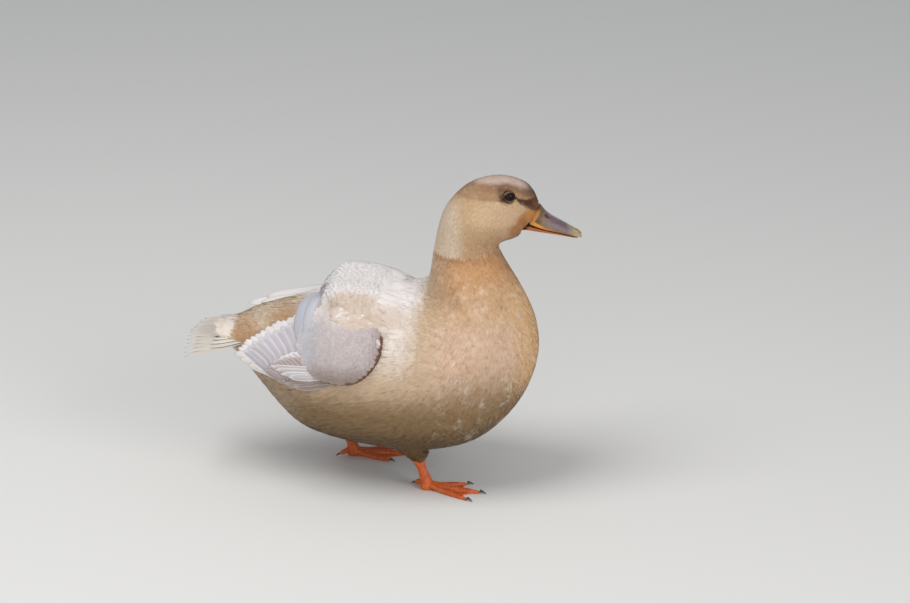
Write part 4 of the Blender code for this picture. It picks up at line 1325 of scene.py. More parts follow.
# Rows of long feathers on the wing, laid from the lowest to the uppermost. Roots and tips are places on the
# wing's shell, (share of her length, degrees up), along a smooth line through those given
wingRows = [
    # lower edge
    {"count": 6, "width": 0.0105, "colour": "brownGrey", "edge": "paleGrey", "height": -1.8,
     "roots": ((-0.040, 4.5), (-0.060, 3.0), (-0.080, 3.5), (-0.100, 5.0)),
     "tips": ((-0.195, -3.0), (-0.235, -2.0), (-0.262, 1.0), (-0.285, 4.5)), "outer": 0.6, "rounding": 0.30},
    # primaries
    {"count": 3, "width": 0.0105, "colour": "white", "edge": "cream", "height": -1.0,
     "roots": ((-0.215, 0.5), (-0.225, 4.5), (-0.235, 9.0)),
     "tips": ((-0.316, 6.5), (-0.337, 12.0), (-0.355, 16.5)), "outer": 0.6, "rounding": 0.25},
    # downy edge
    {"count": 17, "width": 0.0100, "colour": "white", "edge": "white", "height": -0.9,
     "loose": 0.0016,
     "roots": ((-0.290, 5.0), (-0.270, 22.0), (-0.225, 32.0), (-0.185, 36.0)),
     "tips": ((-0.345, 22.0), (-0.322, 36.0), (-0.280, 48.0), (-0.235, 54.5), (-0.195, 58.5)),
     "outer": 0.9, "rounding": 0.40},
    # secondaries
    {"count": 9, "width": 0.0172, "colour": "lilac", "edge": "pale", "height": -0.2,
     "roots": ((-0.255, 4.0), (-0.235, 10.0), (-0.212, 15.0), (-0.180, 18.0), (-0.148, 21.0)),
     "tips": ((-0.325, 22.0), (-0.306, 32.5), (-0.272, 42.0), (-0.235, 48.0), (-0.195, 52.5)),
     "outer": 0.9, "rounding": 0.22},
    # upper white
    {"count": 10, "width": 0.0125, "colour": "bandWhite", "edge": "white", "height": 0.6,
     "roots": ((-0.205, 3.5), (-0.180, 9.0), (-0.145, 12.0), (-0.105, 14.0)),
     "tips": ((-0.250, 13.5), (-0.226, 21.5), (-0.190, 26.5), (-0.142, 29.5)),
     "outer": 0.9, "rounding": 0.30},
    # brown band
    {"count": 13, "width": 0.0100, "colour": "grey", "edge": "paleGrey", "height": 1.1,
     "roots": ((-0.222, 0.5), (-0.195, 6.0), (-0.155, 8.5), (-0.105, 10.0)),
     "tips": ((-0.268, 7.0), (-0.240, 16.5), (-0.198, 21.5), (-0.140, 23.8)),
     "outer": 0.9, "rounding": 0.42},
    # lower white
    {"count": 4, "width": 0.0085, "colour": "bandWhite", "edge": "white", "height": 1.5,
     "roots": ((-0.092, 8.5), (-0.092, 10.0), (-0.094, 11.5), (-0.096, 13.0)),
     "tips": ((-0.205, 5.2), (-0.226, 6.6), (-0.242, 8.4), (-0.256, 10.4)), "outer": 0.8, "rounding": 0.30},
]
tertialRows = [
    {"root": (-0.160, 24), "tip": (-0.146, 86), "width": 0.0235, "colour": "blueGrey", "edge": "lilac",
     "bend": 0.075, "height": 1.0, "sunk": 5.5},
    {"root": (-0.150, 24), "tip": (-0.128, 84), "width": 0.0150, "colour": "blueGrey", "edge": "lilac",
     "bend": 0.070, "height": 1.5, "sunk": 5.5},
    {"root": (-0.143, 28), "tip": (-0.114, 80), "width": 0.0110, "colour": "lilac", "edge": "pale",
     "bend": 0.060, "height": 2.0, "sunk": 5.5},
]
# Only the raised left wing shows its long inner feathers over the back: roots and tips in metres
bladeRows = [
    {"root": (-0.048, 0.0480, 0.1785), "tip": (-0.122, 0.0450, 0.1640), "width": 0.0170},
    {"root": (-0.052, 0.0400, 0.1765), "tip": (-0.140, 0.0400, 0.1580), "width": 0.0160},
    {"root": (-0.050, 0.0360, 0.1765), "tip": (-0.126, 0.0350, 0.1615), "width": 0.0150},
]
bladeFacing = (0.0, -0.36, 0.93)  # their broad sides look up and to her right


def along(table, share):
    return spline(wingFlat(table), np.atleast_1d(share) * (len(table) - 1))[0]


def makeWing(side):
    rng = np.random.default_rng(23 + sides[side])
    lift = np.radians(wingLift[side]) * arc
    total = sum(row["count"] for row in wingRows) + len(tertialRows) + (len(bladeRows) if lift else 0)
    piece = QuillPiece(f"wing_quills_{side}", quillMaterial, "wing", total)

    def lifted(place):
        # only the parts behind the wing's root are lifted with it
        return place + (0, lift * ease(place[0] / duckLength, -0.150, -0.345))

    def lay(root, tip, row, **looks):
        flats, heights, place = quill(lifted(root), lifted(tip), row["width"], rng, **looks)
        share, degrees = flats[:, 0] / duckLength, np.degrees(flats[:, 1] / arc)
        # in millimetres: under the shield, towards the body behind it, and where tips close on the back
        sunk = (4 * ease(share, -0.162, -0.125) + 3.5 * ease(degrees, 30, 50) * ease(share, -0.17, -0.24)
                + row.get("sunk", 0) * ease(degrees, 62, 86))
        points = onShell(side, flats, heights + (row["height"] - sunk) * mm)
        piece.add(points, place, rng.random(), wingColours[row["colour"]], wingColours[row["edge"]])

    for row in wingRows:
        for k in range(row["count"]):
            share = k / (row["count"] - 1)
            tip = along(row["tips"], share) + rng.normal(0, row.get("loose", 0.0004), 2)
            # the raised wing's innermost tips stay behind its long inner feathers
            tip[1] -= 0.006 * wingLift[side] * ease(tip[0], -0.112, -0.084)
            lay(along(row["roots"], share), tip, row, bend=0.03, outer=row["outer"], rounding=row["rounding"])
    for row in tertialRows:
        root, tip = wingFlat((row["root"], row["tip"]))
        # the raised wing keeps them behind its long inner feathers
        tip[1] -= arc * math.radians(14 * wingLift[side])
        lay(root, tip, row, bend=row["bend"], rounding=0.30, exposed=1, narrow=0.5, tilt=0.4 * mm)
    for row in bladeRows if lift else ():
        root, tip = np.array(row["root"]), np.array(row["tip"])
        ahead = unit(tip - root)
        aside = unit(np.cross(unit(np.array(bladeFacing)), ahead))
        end = np.array((np.linalg.norm(tip - root), 0))
        flats, heights, place = quill(np.zeros(2), end, row["width"], rng, bend=0.02, rounding=0.3, exposed=1,
                                      narrow=0.7)
        points = root + flats @ (ahead, aside) + heights[:, None] * np.cross(ahead, aside)
        piece.add(points, place, rng.random(), wingColours["cape"], wingColours["white"])
    piece.finish(f"flight_feathers_{side}", f"tertials_{side}")


# The shield of small coverts over the wing's front, and the blunt hump of scapulars over its root

shield = {"depth": 1.6 * mm, "spacing": 2.6 * mm, "length": 9.0 * mm, "width": 5.6 * mm, "front": 0.30,
          "droop": 0.35}
# the small dark feathers along the shield's lower rim, partly painted shadow under its edge
rustyShadowLine = {"spacing": 0.624 * mm, "length": 4 * mm, "width": 1.4 * mm, "edge": (0.235, 0.30)}
hump = {"depth": 1.8 * mm, "spacing": 3.6 * mm, "length": 15 * mm, "width": 8.5 * mm, "bulge": 1.0 * mm,
        "rearDrop": 7 * mm, "frontDrop": 2.5 * mm, "topDrop": 0.3 * mm,
        "degrees": (50, 58, 68, 80, 95, 110), "rear": (-0.070, -0.105, -0.130, -0.150, -0.152, -0.150),
        "front": 0.050}
shieldVane = vaneShape(7, 4, 0.78)
shieldLooks = {"round": 0.34, "ragged": 0.0, "spread": 0.10, "narrow": 0.6}


def shieldSurface(side, reach, depth):
    # one wing's shell as a surface to lay feathers on, its rings from the rear forward
    mirror = np.array((1, -sides[side], 1))
    outer = ((wingCentre + wingOut * reach[..., None]) * mirror)[::-1]
    middle = (wingCentre * mirror)[::-1]
    around = np.gradient(outer, axis=1)
    along = np.gradient(outer, axis=0)
    normal = unit(np.cross(along, around))
    normal = normal * np.sign(dot(normal, outer - middle))[..., None]
    return {"outer": outer, "skin": outer - normal * depth, "normal": normal, "alongStep": along,
            "roundStep": around, "cellArea": np.linalg.norm(np.cross(along, around), axis=-1)}


def shieldColours(layer):
    # pinkish grey with a bluish rear, a browner lower rim, fawn near the back and a white spot at the wrist
    x, z = layer["heart"][:, 0] / duckLength, layer["heart"][:, 2] / duckHeight
    flat = np.stack([x, z], -1)
    return layered(
        np.tile(wingColours["shield"], (len(x), 1)), wingColours,
        ("shieldBlue", 0.8 * ease(x, -0.110, -0.150)),
        ("shieldPale", ease(z, 0.555, 0.595)),
        ("shieldLow", ease(z, 0.470, 0.415)),
        ("shieldLow", 0.5 * ease(x, -0.005, 0.02)),
        ("capeFawn", 0.5 * patchAt(flat, (-0.045, 0.590), (0.040, 0.022))),
        ("shieldPale", 0.8 * patchAt(flat, (-0.085, 0.585), (0.018, 0.016))),
        ("white", patchAt(flat, (0.030, 0.528), (0.012, 0.014))),
    )


def nearEdge(near, ring, step, low, high):
    # keeps the roots where a soft mask's value lies between two levels
    value = onGrid(near[..., None], ring, step)[:, 0]
    keep = (value > low) & (value < high)
    return ring[keep], step[keep]


def makeShield(side, reach, there):
    rng = np.random.default_rng(41 + sides[side])
    surface = shieldSurface(side, reach, shield["depth"])
    near = blurred(there[::-1].astype(float), 2.0, 2.0, closed=False)
    share = surface["outer"][..., 0] / duckLength
    ring, step = scatter(surface, shield["spacing"], (near > 0.15) & (share > -0.160), rng)
    ring, step = nearEdge(near, ring, step, shield["front"], 2)
    count = len(ring)
    x = onGrid(surface["outer"], ring, step)[:, 0] / duckLength
    # larger towards the rear
    scale = np.interp(x, (-0.16, -0.05, 0.03), (1.35, 1.0, 0.75)) * rng.uniform(0.9, 1.1, count)
    droop = -shield["droop"] * sides[side]
    length, width = shield["length"] * scale, shield["width"] * scale
    layer = layFeathers(surface, ring, step, length, width, shieldVane, rng, curl=0.01,
                        sweep=droop + rng.normal(0, 0.06, count), stand=rng.uniform(0.98, 1.05, count),
                        **shieldLooks)
    layer["colour"] = shieldColours(layer)
    # a line of small dark reddish-brown feathers under the wrist and along the lower rim: partly the
    # reddish-brown down there, partly painted shadow under the shield's edge
    rim = (near > 0.10) & (near < 0.5) & (share > -0.10) & (wingDegrees < 38)
    ring, step = scatter(surface, rustyShadowLine["spacing"], rim, rng)
    ring, step = nearEdge(near, ring, step, *rustyShadowLine["edge"])
    count = len(ring)
    length, width = np.full(count, rustyShadowLine["length"]), np.full(count, rustyShadowLine["width"])
    rustyShadowRow = layFeathers(surface, ring, step, length, width, shieldVane, rng, stand=0.35,
                        sweep=droop * 0.5 + rng.normal(0, 0.1, count), round=0.5, ragged=0.0)
    rustyShadowRow["colour"] = np.tile(wingColours["shieldRustShadow"], (count, 1))
    featherPiece(f"wing_shield_{side}", surface, [layer, rustyShadowRow], shieldMaterial, "wing", soft=0.8)


def humpShell(reach):
    # the hump's reach from the wings' axis, and where it ends. Its last part drops away to the wing
    rear = np.interp(wingDegrees, hump["degrees"], hump["rear"])
    end = np.clip((rear + 0.032 - wingShare) / 0.036, 0, 1.2)
    # the two sides' ridges are joined by a level top
    height = wingCentre[..., 2] + wingOut[..., 2] * reach
    level = height[:, wingDegrees[0] < 92].max(1, keepdims=True) - hump["topDrop"]
    topped = np.maximum(reach, (level - wingCentre[..., 2]) / wingOut[..., 2])
    reach = blurred(np.where(wingDegrees > 70, topped, reach), 1.5, 1.5, closed=False)
    dropped = hump["rearDrop"] * end ** 2.5 + hump["frontDrop"] * ease(wingShare, 0.005, 0.045)
    return reach + hump["bulge"] - dropped, rear


def makeHump(side, reach):
    rng = np.random.default_rng(61 + sides[side])
    reach, rear = humpShell(reach)
    surface = shieldSurface(side, reach, hump["depth"])
    zone = (wingShare > rear) & (wingShare < hump["front"]) & (wingDegrees > 50) & (wingDegrees < 96)
    ring, step = scatter(surface, hump["spacing"], zone[::-1], rng)
    count = len(ring)
    x = onGrid(surface["outer"], ring, step)[:, 0] / duckLength
    turn = np.interp(step, np.arange(wingGrid["steps"]), wingDegrees[0])
    scale = np.interp(x, (-0.15, -0.10, 0.03), (0.7, 1.0, 1.1)) * rng.uniform(0.9, 1.1, count)
    layer = layFeathers(surface, ring, step, hump["length"] * scale, hump["width"] * scale, shieldVane, rng,
                        sweep=-0.10 * sides[side] + rng.normal(0, 0.05, count),
                        stand=rng.uniform(0.97, 1.04, count), **shieldLooks)
    # share of her length, and hundreds of degrees up the shell
    place = np.stack([x, turn / 100], -1)
    layer["colour"] = layered(
        np.tile(wingColours["cape"], (count, 1)), wingColours,
        ("capeCream", 0.6 * ease(turn, 72, 58)),
        ("capeFawn", 0.85 * patchAt(place, (-0.028, 0.545), (0.080, 0.095))),
        # a darker lilac spot at the hump's rear end: painted shade where it ends over the wing
        ("capeShade", 0.9 * patchAt(place, (-0.118, 0.770), (0.020, 0.110))),
    )
    featherPiece(f"scapular_ends_{side}", surface, [layer], capeMaterial, "plumage", soft=0.85)


quillMaterial = featherMaterial("quills", roughness=0.55, bump=0.00008, sheen=0.05, streaks=0.10,
                                variation=0.10, rootShade=0.10, fringe=0.10, shaft=0.7, barbs=70.0)
shieldMaterial = featherMaterial("shield", roughness=0.62, bump=0.00012, sheen=0.06, streaks=0.14,
                                 variation=0.12, rootShade=0.18, fringe=0.40, shaft=0.2, barbs=30.0)
shieldReach, shieldThere = wingShell(("wing_coverts",))
onShield = blurred(shieldThere.astype(float), 1, 1, closed=False) > 0.3
shieldReach = np.where(onShield, shieldReach, shell + 1.2 * mm)
shieldReach = blurred(shieldReach, 1.2, 1.2, closed=False)
humpReach, _ = wingShell(("scapulars",))
for side in sides:
    makeWing(side)
    makeShield(side, shieldReach, shieldThere)
    makeHump(side, humpReach)


# The tail

tail = {"inside": 0.030, "rootHalf": 0.022, "stack": 1.68 * mm, "sag": 0.0045}
tailRows = [
    {"count": 13, "width": 0.0185, "tip": 0.0, "half": 1.0, "raised": 0.0, "ragged": 0.10,
     "colour": "tail", "edge": "tailEdge"},
    {"count": 11, "width": 0.0150, "tip": 0.026, "half": 0.80, "raised": 1.1 * mm, "ragged": 0.05,
     "colour": "tailCovert", "edge": "tailCovert"},
]


def makeTail():
    rng = np.random.default_rng(5)
    low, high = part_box("tail")
    material = featherMaterial("tail", roughness=0.6, bump=0.0001, sheen=0.06, streaks=0.12, variation=0.10,
                               rootShade=0.0, fringe=0.1, shaft=0.6, barbs=80.0)
    piece = QuillPiece("tail_feathers", material, "plumage", sum(row["count"] for row in tailRows))
    rootX, tipX = high.x + tail["inside"], low.x
    rootZ, tipZ = high.z - 0.0012, high.z - 0.0092
    halfTip = high.y - 0.004
    # the outermost lie lowest, so they are laid first
    places = [(row, 2 * k / (row["count"] - 1) - 1) for row in tailRows for k in range(row["count"])]
    for row, share in sorted(places, key=lambda place: (place[0]["raised"], -abs(place[1]))):
        root = np.array((rootX, share * tail["rootHalf"]))
        reach = 0.0035 * share ** 2 + rng.uniform(0, 0.003) + row["tip"]
        tip = np.array((tipX + reach, share * halfTip * row["half"]))
        # each feather's inner web runs under the one nearer the middle
        side = 1 if share >= 0 else -1
        flats, heights, place = quill(root, tip, row["width"] * rng.uniform(0.9, 1.05), rng, outer=0.55,
                                      rounding=0.26, blunt=0.80, sharp=0.95, tilt=0.35 * mm, camber=0.4 * mm,
                                      ragged=row["ragged"], bend=0.02, narrow=0.4, exposed=-side)
        x, y = flats.T
        along = (x - rootX) / (tipX - rootX)
        z = rootZ + (tipZ - rootZ) * along ** 1.3 - tail["sag"] * (y / halfTip) ** 2 * along
        # the upper row is raised most over the middle of the roots
        raised = row["raised"] * (1 + 6 * (1 - abs(share)) * np.clip(1 - along, 0, 1) ** 2)
        z = z + heights + raised - tail["stack"] * abs(share)
        colour, edge = (wingColours[row[key]] for key in ("colour", "edge"))
        piece.add(np.stack([x, y, z], -1), place, rng.random(), colour, edge)
    piece.finish("tail")


makeTail()


# Long coverts over and under the tail's roots

tailCoverts = {"spacing": 4.6 * mm, "vane": capeVane, "end": 0.55, "drawn": {
    "length": ("uniform", 21.6, 29.7), "width": ("uniform", 7.2, 8.8), "stand": ("uniform", 0.9, 1.1)},
    "shape": {"ragged": 0.15, "spread": 0.2, "curl": 0.03, "round": 0.3}}
zone = np.repeat((body["stations"] < tailCoverts["end"])[:, None], bodyGrid["steps"], 1)
growPiece("coat_tail_coverts", body, zone, np.random.default_rng(6), tailCoverts, capeMaterial)


# The bill

# Middle lines of the two halves: (forward, up, slant of the section in degrees)
upperBill = np.array([(0.0262, -0.0222, 51), (0.0330, -0.0273, 52), (0.0409, -0.0327, 54),
                      (0.0500, -0.0372, 60), (0.0583, -0.0407, 65), (0.0665, -0.0447, 71),
                      (0.0729, -0.0482, 78), (0.0752, -0.0497, 82)])
lowerBill = np.array([(0.0215, -0.0350, 56), (0.0290, -0.0378, 66), (0.0364, -0.0404, 73),
                      (0.0463, -0.0434, 78), (0.0563, -0.0462, 81), (0.0650, -0.0491, 83),
                      (0.0708, -0.0508, 85)])
billGrid = {"rings": 64, "steps": 96, "reach": 0.03, "alongBlur": 1.2, "aroundBlur": 0.8}
nostril = {"forward": 0.0425, "up": -0.0252, "long": 0.0042, "tall": 0.0018, "deep": 1.5 * mm,
           "rim": 0.35 * mm, "slope": -0.55}
nailGroove = {"forward": 0.0722, "wide": 0.0040, "long": 0.0050, "deep": 0.22 * mm}
# the bill's colours; among them a painted highlight for the ridge, painted shade between the halves and in
# the nostril, and a partly painted sky reflection in the lilac
billColours = {
    "horn": (0.22, 0.140, 0.085), "base": (0.118, 0.058, 0.026), "olive": (0.13, 0.095, 0.038),
    "lilac": (0.135, 0.092, 0.118), "ridgeHighlight": (0.42, 0.36, 0.33), "tip": (0.50, 0.43, 0.25),
    "edge": (0.66, 0.27, 0.030), "gape": (0.030, 0.010, 0.005), "under": (0.30, 0.085, 0.016),
    "orange": (0.56, 0.15, 0.018), "nail": (0.30, 0.22, 0.085), "nostril": (0.060, 0.022, 0.014),
}
billStretch = {"from": 0.038, "to": 0.0767, "by": 0.0028}
billEdge = {"up": (-0.0335, -0.0305, -0.0280, -0.0180), "forward": (0.0202, 0.0263, 0.0298, 0.0361),
            "chin": 0.0205, "spacing": 0.80 * mm, "vane": coatLooks["fine"], "shape": {}, "drawn": {
                "length": ("uniform", 2.0, 3.0), "width": ("uniform", 1.035, 1.265),
                "stand": ("uniform", 0.9, 1.1)}}


def billSurface(rows, nodes):
    count = billGrid["rings"]
    line = spline(rows, np.linspace(0, len(rows) - 1, count + 1))
    lean = np.radians(line[:, 2])
    centres = fromHead(np.stack([line[:, 0], 0 * lean, line[:, 1]], -1))
    ups = np.cos(lean)[:, None] * headAhead + np.sin(lean)[:, None] * np.array((0, 0, 1))
    acrosses = np.repeat(headLeft[None], count + 1, 0)
    outer = castRings(solidTree(nodes), centres, ups, acrosses, billGrid["steps"], billGrid["reach"],
                      billGrid["alongBlur"], billGrid["aroundBlur"])
    # the tip is drawn out a little beyond its solid
    share = ease(toHead(outer)[..., 0], billStretch["from"], billStretch["to"])
    return outer + headAhead * (share * billStretch["by"])[..., None], centres


def lowerPaint(points):
    local = toHead(points)
    lift = local[:, 2] - np.interp(local[:, 0], lowerBill[:, 0], lowerBill[:, 1])
    return layered(
        np.tile(billColours["under"], (len(points), 1)), billColours,
        ("orange", np.full(len(points), 0.7)),
        # the lower half's top, under the upper's edge, painted dark as shade
        ("gape", ease(lift, 0.0014, 0.0024)),
    )


def upperPaint(points):
    forward, out, up = toHead(points).T
    out = np.abs(out)
    flat = np.stack([forward, up], -1)
    lift = up - np.interp(forward, upperBill[:, 0], upperBill[:, 1])
    rim = edgeRise(forward)
    # lilac over the upper side, middle to ridge: partly the horn's own grey, partly a painted reflection of
    # the sky
    lilac = ease(forward, 0.037, 0.046) * ease(forward, 0.072, 0.060) * ease(lift, -0.0015, 0.001)
    return layered(
        np.tile(billColours["horn"], (len(points), 1)), billColours,
        ("base", ease(forward, 0.038, 0.028)),
        ("olive", patchAt(flat, (0.036, -0.017), (0.006, 0.008))),
        ("lilac", 0.9 * lilac),
        ("tip", 0.8 * ease(forward, 0.060, 0.074)),
        # a painted highlight along the top of the ridge
        ("ridgeHighlight", 0.75 * ease(out, 0.0042, 0.0012) * ease(lift, 0.0, 0.001) * ease(forward, 0.036, 0.046)),
        ("nail", ease(out, 0.0046, 0.0036) * ease(forward, 0.0668, 0.0676) * ease(lift, -0.004, -0.002)),
        ("edge", ease(lift, rim + 0.0024, rim + 0.0010) * ease(forward, 0.080, 0.068)),
        # the underside of the upper half's rim painted dark as shade between the two halves
        ("gape", 0.7 * ease(lift, rim - 0.0012, rim - 0.0017) * ease(out, 0.0100, 0.0090)),
    )


def edgeRise(forward):
    # how far above the upper bill's middle line its cutting edge lies
    return np.interp(forward, (0.0215, 0.037, 0.0575, 0.0725), (-0.0060, -0.0066, -0.0050, -0.0024))


def billMaterial():
    material, nodes, shader = newMaterial("horn", (0.3, 0.2, 0.12), 0.36, {"Specular IOR Level": 0.45})
    place = nodes.place()
    clouds = nodes.noise(place, 210.0, 4.0, 0.6)
    specks = nodes.noise(place, 900.0, 2.0)
    grain = nodes.plus(nodes.times(clouds, 0.7), nodes.times(specks, 0.3))
    ground = nodes.group(grainedGround, Ground=nodes.attribute("ground"), Grain=grain, Low=0.3, High=0.7,
                         Dark=0.80, Light=1.18)
    nodes.cover(shader, ground.outputs["Color"], specks, 0.35, 0.00012)
    nodes.plug(shader, "Roughness", nodes.between(clouds, 0.3, 0.7, (0.30, 0.46)))
    return material


def layEdge(name, grid, centres, lower):
    # small feathers over the bill's base, up to the slanting line where the horn begins
    rng = np.random.default_rng(91 + lower)
    out = gridNormals(grid, grid - centres[:, None])
    edge = finishSurface({"outer": grid + out * 0.6 * mm, "skin": grid - out * 0.1 * mm, "centres": centres})
    forward, _, up = np.moveaxis(toHead(grid), -1, 0)
    limit = billEdge["chin"] if lower else np.interp(up, billEdge["up"], billEdge["forward"])
    growPiece(f"coat_{name}", edge, forward < limit, rng, billEdge, coatMaterial)


def billPiece(name, grid, colours, *nodes):
    piece = joinedMesh(name, [closedTube(grid)])
    piece.data.shade_smooth()
    paint(piece.data, "ground", colours(pointsOf(piece.data)))
    piece.data.materials.append(horn)
    standing(piece, "bill", *nodes)


def makeUpperBill():
    outer, centres = billSurface(upperBill, ["bill_upper", "bill_nail"])
    forward, out, up = np.moveaxis(toHead(outer), -1, 0)
    # the nostril: an oval pit on each side, with a raised rim
    c, s = math.cos(nostril["slope"]), math.sin(nostril["slope"])
    dx, dz = forward - nostril["forward"], up - nostril["up"]
    oval = np.hypot((dx * c + dz * s) / nostril["long"], (dz * c - dx * s) / nostril["tall"])
    pit = ease(oval, 1.0, 0.55) * (np.abs(out) > 0.002)
    rim = ease(oval, 0.8, 1.05) * ease(oval, 1.7, 1.2)
    # the groove round the nail
    away = np.hypot(out / nailGroove["wide"], (forward - nailGroove["forward"]) / nailGroove["long"])
    groove = ease(np.abs(away - 1), 0.22, 0.05) * ease(forward, 0.0655, 0.0675)
    sunk = nostril["deep"] * pit - nostril["rim"] * rim + nailGroove["deep"] * groove
    grid = outer + unit(centres[:, None] - outer) * sunk[..., None]
    # the pit is painted dark: painted shade inside the nostril's opening
    inside = np.concatenate([pit.ravel(), np.zeros(2)])  # the tube's two ends come last
    billPiece("bill_top", grid, lambda points: layered(upperPaint(points), billColours, ("nostril", inside)),
              "bill_upper", "bill_nail")
    layEdge("bill_top", grid, centres, False)


def makeLowerBill():
    grid, _ = billSurface(lowerBill, ["bill_lower"])
    billPiece("bill_bottom", grid, lowerPaint, "bill_lower")
    layEdge("bill_bottom", grid, grid.mean(1), True)


horn = billMaterial()
makeUpperBill()
makeLowerBill()
print("bill: both halves")


# The eyes and their lids

eyeLean = {"ahead": 0.12, "up": 0.20}  # for each metre outward, where an eye looks
lid = {"length": 0.0092, "height": 0.0056, "wide": 0.0132, "tall": 0.0112, "tip": 0.22, "steps": 56,
       "thick": 0.3 * mm, "shade": 0.42, "bare": (0.014, 0.007, 0.005)}
# the band from its opening outward: share of its width, and how many millimetres it stands off the eyeball
lidProfile = ((-0.12, -0.15), (0.0, 0.15), (0.10, 0.26), (0.22, 0.20), (0.5, 0.10), (1.0, -0.10))


def eyeMaterial(middle, outward, radius):
    # rings round the eye's axis: pupil, iris and the dark limbus
    material, nodes, shader = newMaterial("eye", eyeball["limbus"], 0.10, {
        "Specular IOR Level": 0.1, "Coat Weight": 0.15, "Coat Roughness": 0.03})
    place = nodes.place()
    away = nodes.put("ShaderNodeVectorMath", {"operation": "SUBTRACT"}, in0=place, in1=tuple(middle))
    axis = nodes.put("ShaderNodeVectorMath", {"operation": "DOT_PRODUCT"}, in0=away.outputs[0],
                     in1=tuple(outward))
    share = nodes.math("DIVIDE", axis.outputs["Value"], radius)
    dark, light = ((*[c * level for c in eyeball["iris"]], 1) for level in (0.6, 1.5))
    iris = nodes.mix(nodes.between(nodes.noise(place, 1500.0, 2.0), 0.3, 0.7), dark, light)
    colour = nodes.mix(nodes.between(share, 0.66, 0.74), (*eyeball["limbus"], 1), iris)
    colour = nodes.mix(nodes.between(share, 0.865, 0.89), colour, (*eyeball["pupil"], 1))
    nodes.plug(shader, "Base Color", colour)
    return material


def makeEye(side):
    low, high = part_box(f"eye_{side}")
    middle, radius = eyePlace(side), (high.z - low.z) / 2
    outward = sides[side] * headLeft + eyeLean["ahead"] * headAhead + np.array((0, 0, eyeLean["up"]))
    outward = unit(outward)
    ball = bmesh.new()
    bmesh.ops.create_uvsphere(ball, u_segments=40, v_segments=28, radius=radius)
    turn = Vector(outward).to_track_quat("Z", "Y").to_matrix().to_4x4()
    bmesh.ops.transform(ball, matrix=Matrix.Translation(middle) @ turn, verts=ball.verts)
    mesh = bpy.data.meshes.new(f"eyeball_{side}")
    ball.to_mesh(mesh)
    ball.free()
    mesh.shade_smooth()
    mesh.materials.append(eyeMaterial(middle, outward, radius))
    standing(linked(f"eyeball_{side}", mesh), "eye", f"eye_{side}")
    makeLids(side, middle, radius, outward)


def makeLids(side, middle, radius, outward):
    # a band over the eyeball with an almond opening: a dark bare rim, and skin that runs under the feathers
    ahead = unit(headAhead - outward * dot(headAhead, outward))
    up = np.cross(outward, ahead)
    up = up * np.sign(up[2])
    turn = np.linspace(0, 2 * math.pi, lid["steps"], endpoint=False)
    c, s = np.cos(turn), np.sin(turn)
    grid = []
    for share, off in lidProfile:
        long = lid["length"] / 2 + (lid["wide"] - lid["length"]) / 2 * share
        tall = lid["height"] / 2 + (lid["tall"] - lid["height"]) / 2 * share
        corner = lid["tip"] * np.abs(c) ** 3 * (1 - share * 0.6)
        x = long * c * (1 + 0.10 * (1 - share) * np.abs(c) ** 6)
        y = tall * s * (1 - corner)
        flat = np.clip(np.hypot(x, y) / radius, 0, 0.985)
        depth = radius * np.sqrt(1 - flat ** 2)
        direction = unit(x[:, None] * ahead + y[:, None] * up + depth[:, None] * outward)
        grid.append(middle + direction * (np.hypot(np.hypot(x, y), depth) + off * mm)[:, None])
    points = np.concatenate(grid)
    share = np.repeat(np.array(lidProfile)[:, 0], lid["steps"])
    colours, _ = markings(points + outward * mm)
    colours = layered(colours * lid["shade"], lid, ("bare", ease(share, 0.52, 0.24)))
    piece = meshPiece(f"lids_{side}", points, gridFaces(len(grid), lid["steps"]), lidSkin)
    paint(piece.data, "ground", colours)
    settled(piece, ("SOLIDIFY", {"thickness": lid["thick"], "offset": -1.0}),
            ("SUBSURF", {"levels": 2, "render_levels": 2}))
    standing(piece, "plumage")


def lidMaterial():
    material, nodes, shader = newMaterial("lids", (0.1, 0.06, 0.04), 0.7, {"Specular IOR Level": 0.15})
    folds = nodes.noise(nodes.place(), 1800.0, 3.0, 0.6)
    ground = nodes.group(grainedGround, Ground=nodes.attribute("ground"), Grain=folds, Low=0.3, High=0.7,
                         Dark=0.75, Light=1.15)
    nodes.cover(shader, ground.outputs["Color"], folds, 0.5, 0.0001)
    return material


lidSkin = lidMaterial()
for side in sides:
    makeEye(side)
print("eyes: eyeballs and lids")


# Legs, webbed feet and claws

leg = {"voxel": 0.52 * mm, "smoothed": 4, "shankScutes": 9, "toeScutes": 15, "groove": 0.28 * mm}


def legMaterial():
    material, nodes, shader = newMaterial("legSkin", (0.7, 0.14, 0.02), 0.48)
    place = nodes.place()
    cells = nodes.put("ShaderNodeTexVoronoi", {"feature": "DISTANCE_TO_EDGE"}, Vector=place, Scale=900.0)
    pebbles = nodes.between(cells.outputs["Distance"], 0.0, 0.28)
    clouds = nodes.noise(place, 160.0, 3.0)
    grooves = nodes.parts(nodes.attribute("ground"))[0]
    colour = nodes.mix(nodes.between(clouds, 0.35, 0.7), (0.62, 0.105, 0.012, 1), (0.80, 0.20, 0.035, 1))
    colour = nodes.mix(nodes.between(pebbles, 0.0, 1.0, (0.55, 0.0)), colour, (0.36, 0.045, 0.008, 1))
    colour = nodes.mix(nodes.times(grooves, 0.6), colour, (0.30, 0.04, 0.008, 1))
    nodes.cover(shader, colour, pebbles, 0.45, 0.00018)
    nodes.plug(shader, "Roughness", nodes.between(clouds, 0.3, 0.7, (0.40, 0.56)))
    return material


def clawMaterial():
    material, nodes, shader = newMaterial("clawHorn", (0.10, 0.06, 0.04), 0.45)
    grain = nodes.noise(nodes.place(), 500.0, 3.0)
    colour = nodes.mix(nodes.between(grain, 0.3, 0.7), (0.05, 0.030, 0.020, 1), (0.10, 0.062, 0.040, 1))
    nodes.cover(shader, colour, grain, 0.2, 0.00005)
    return material


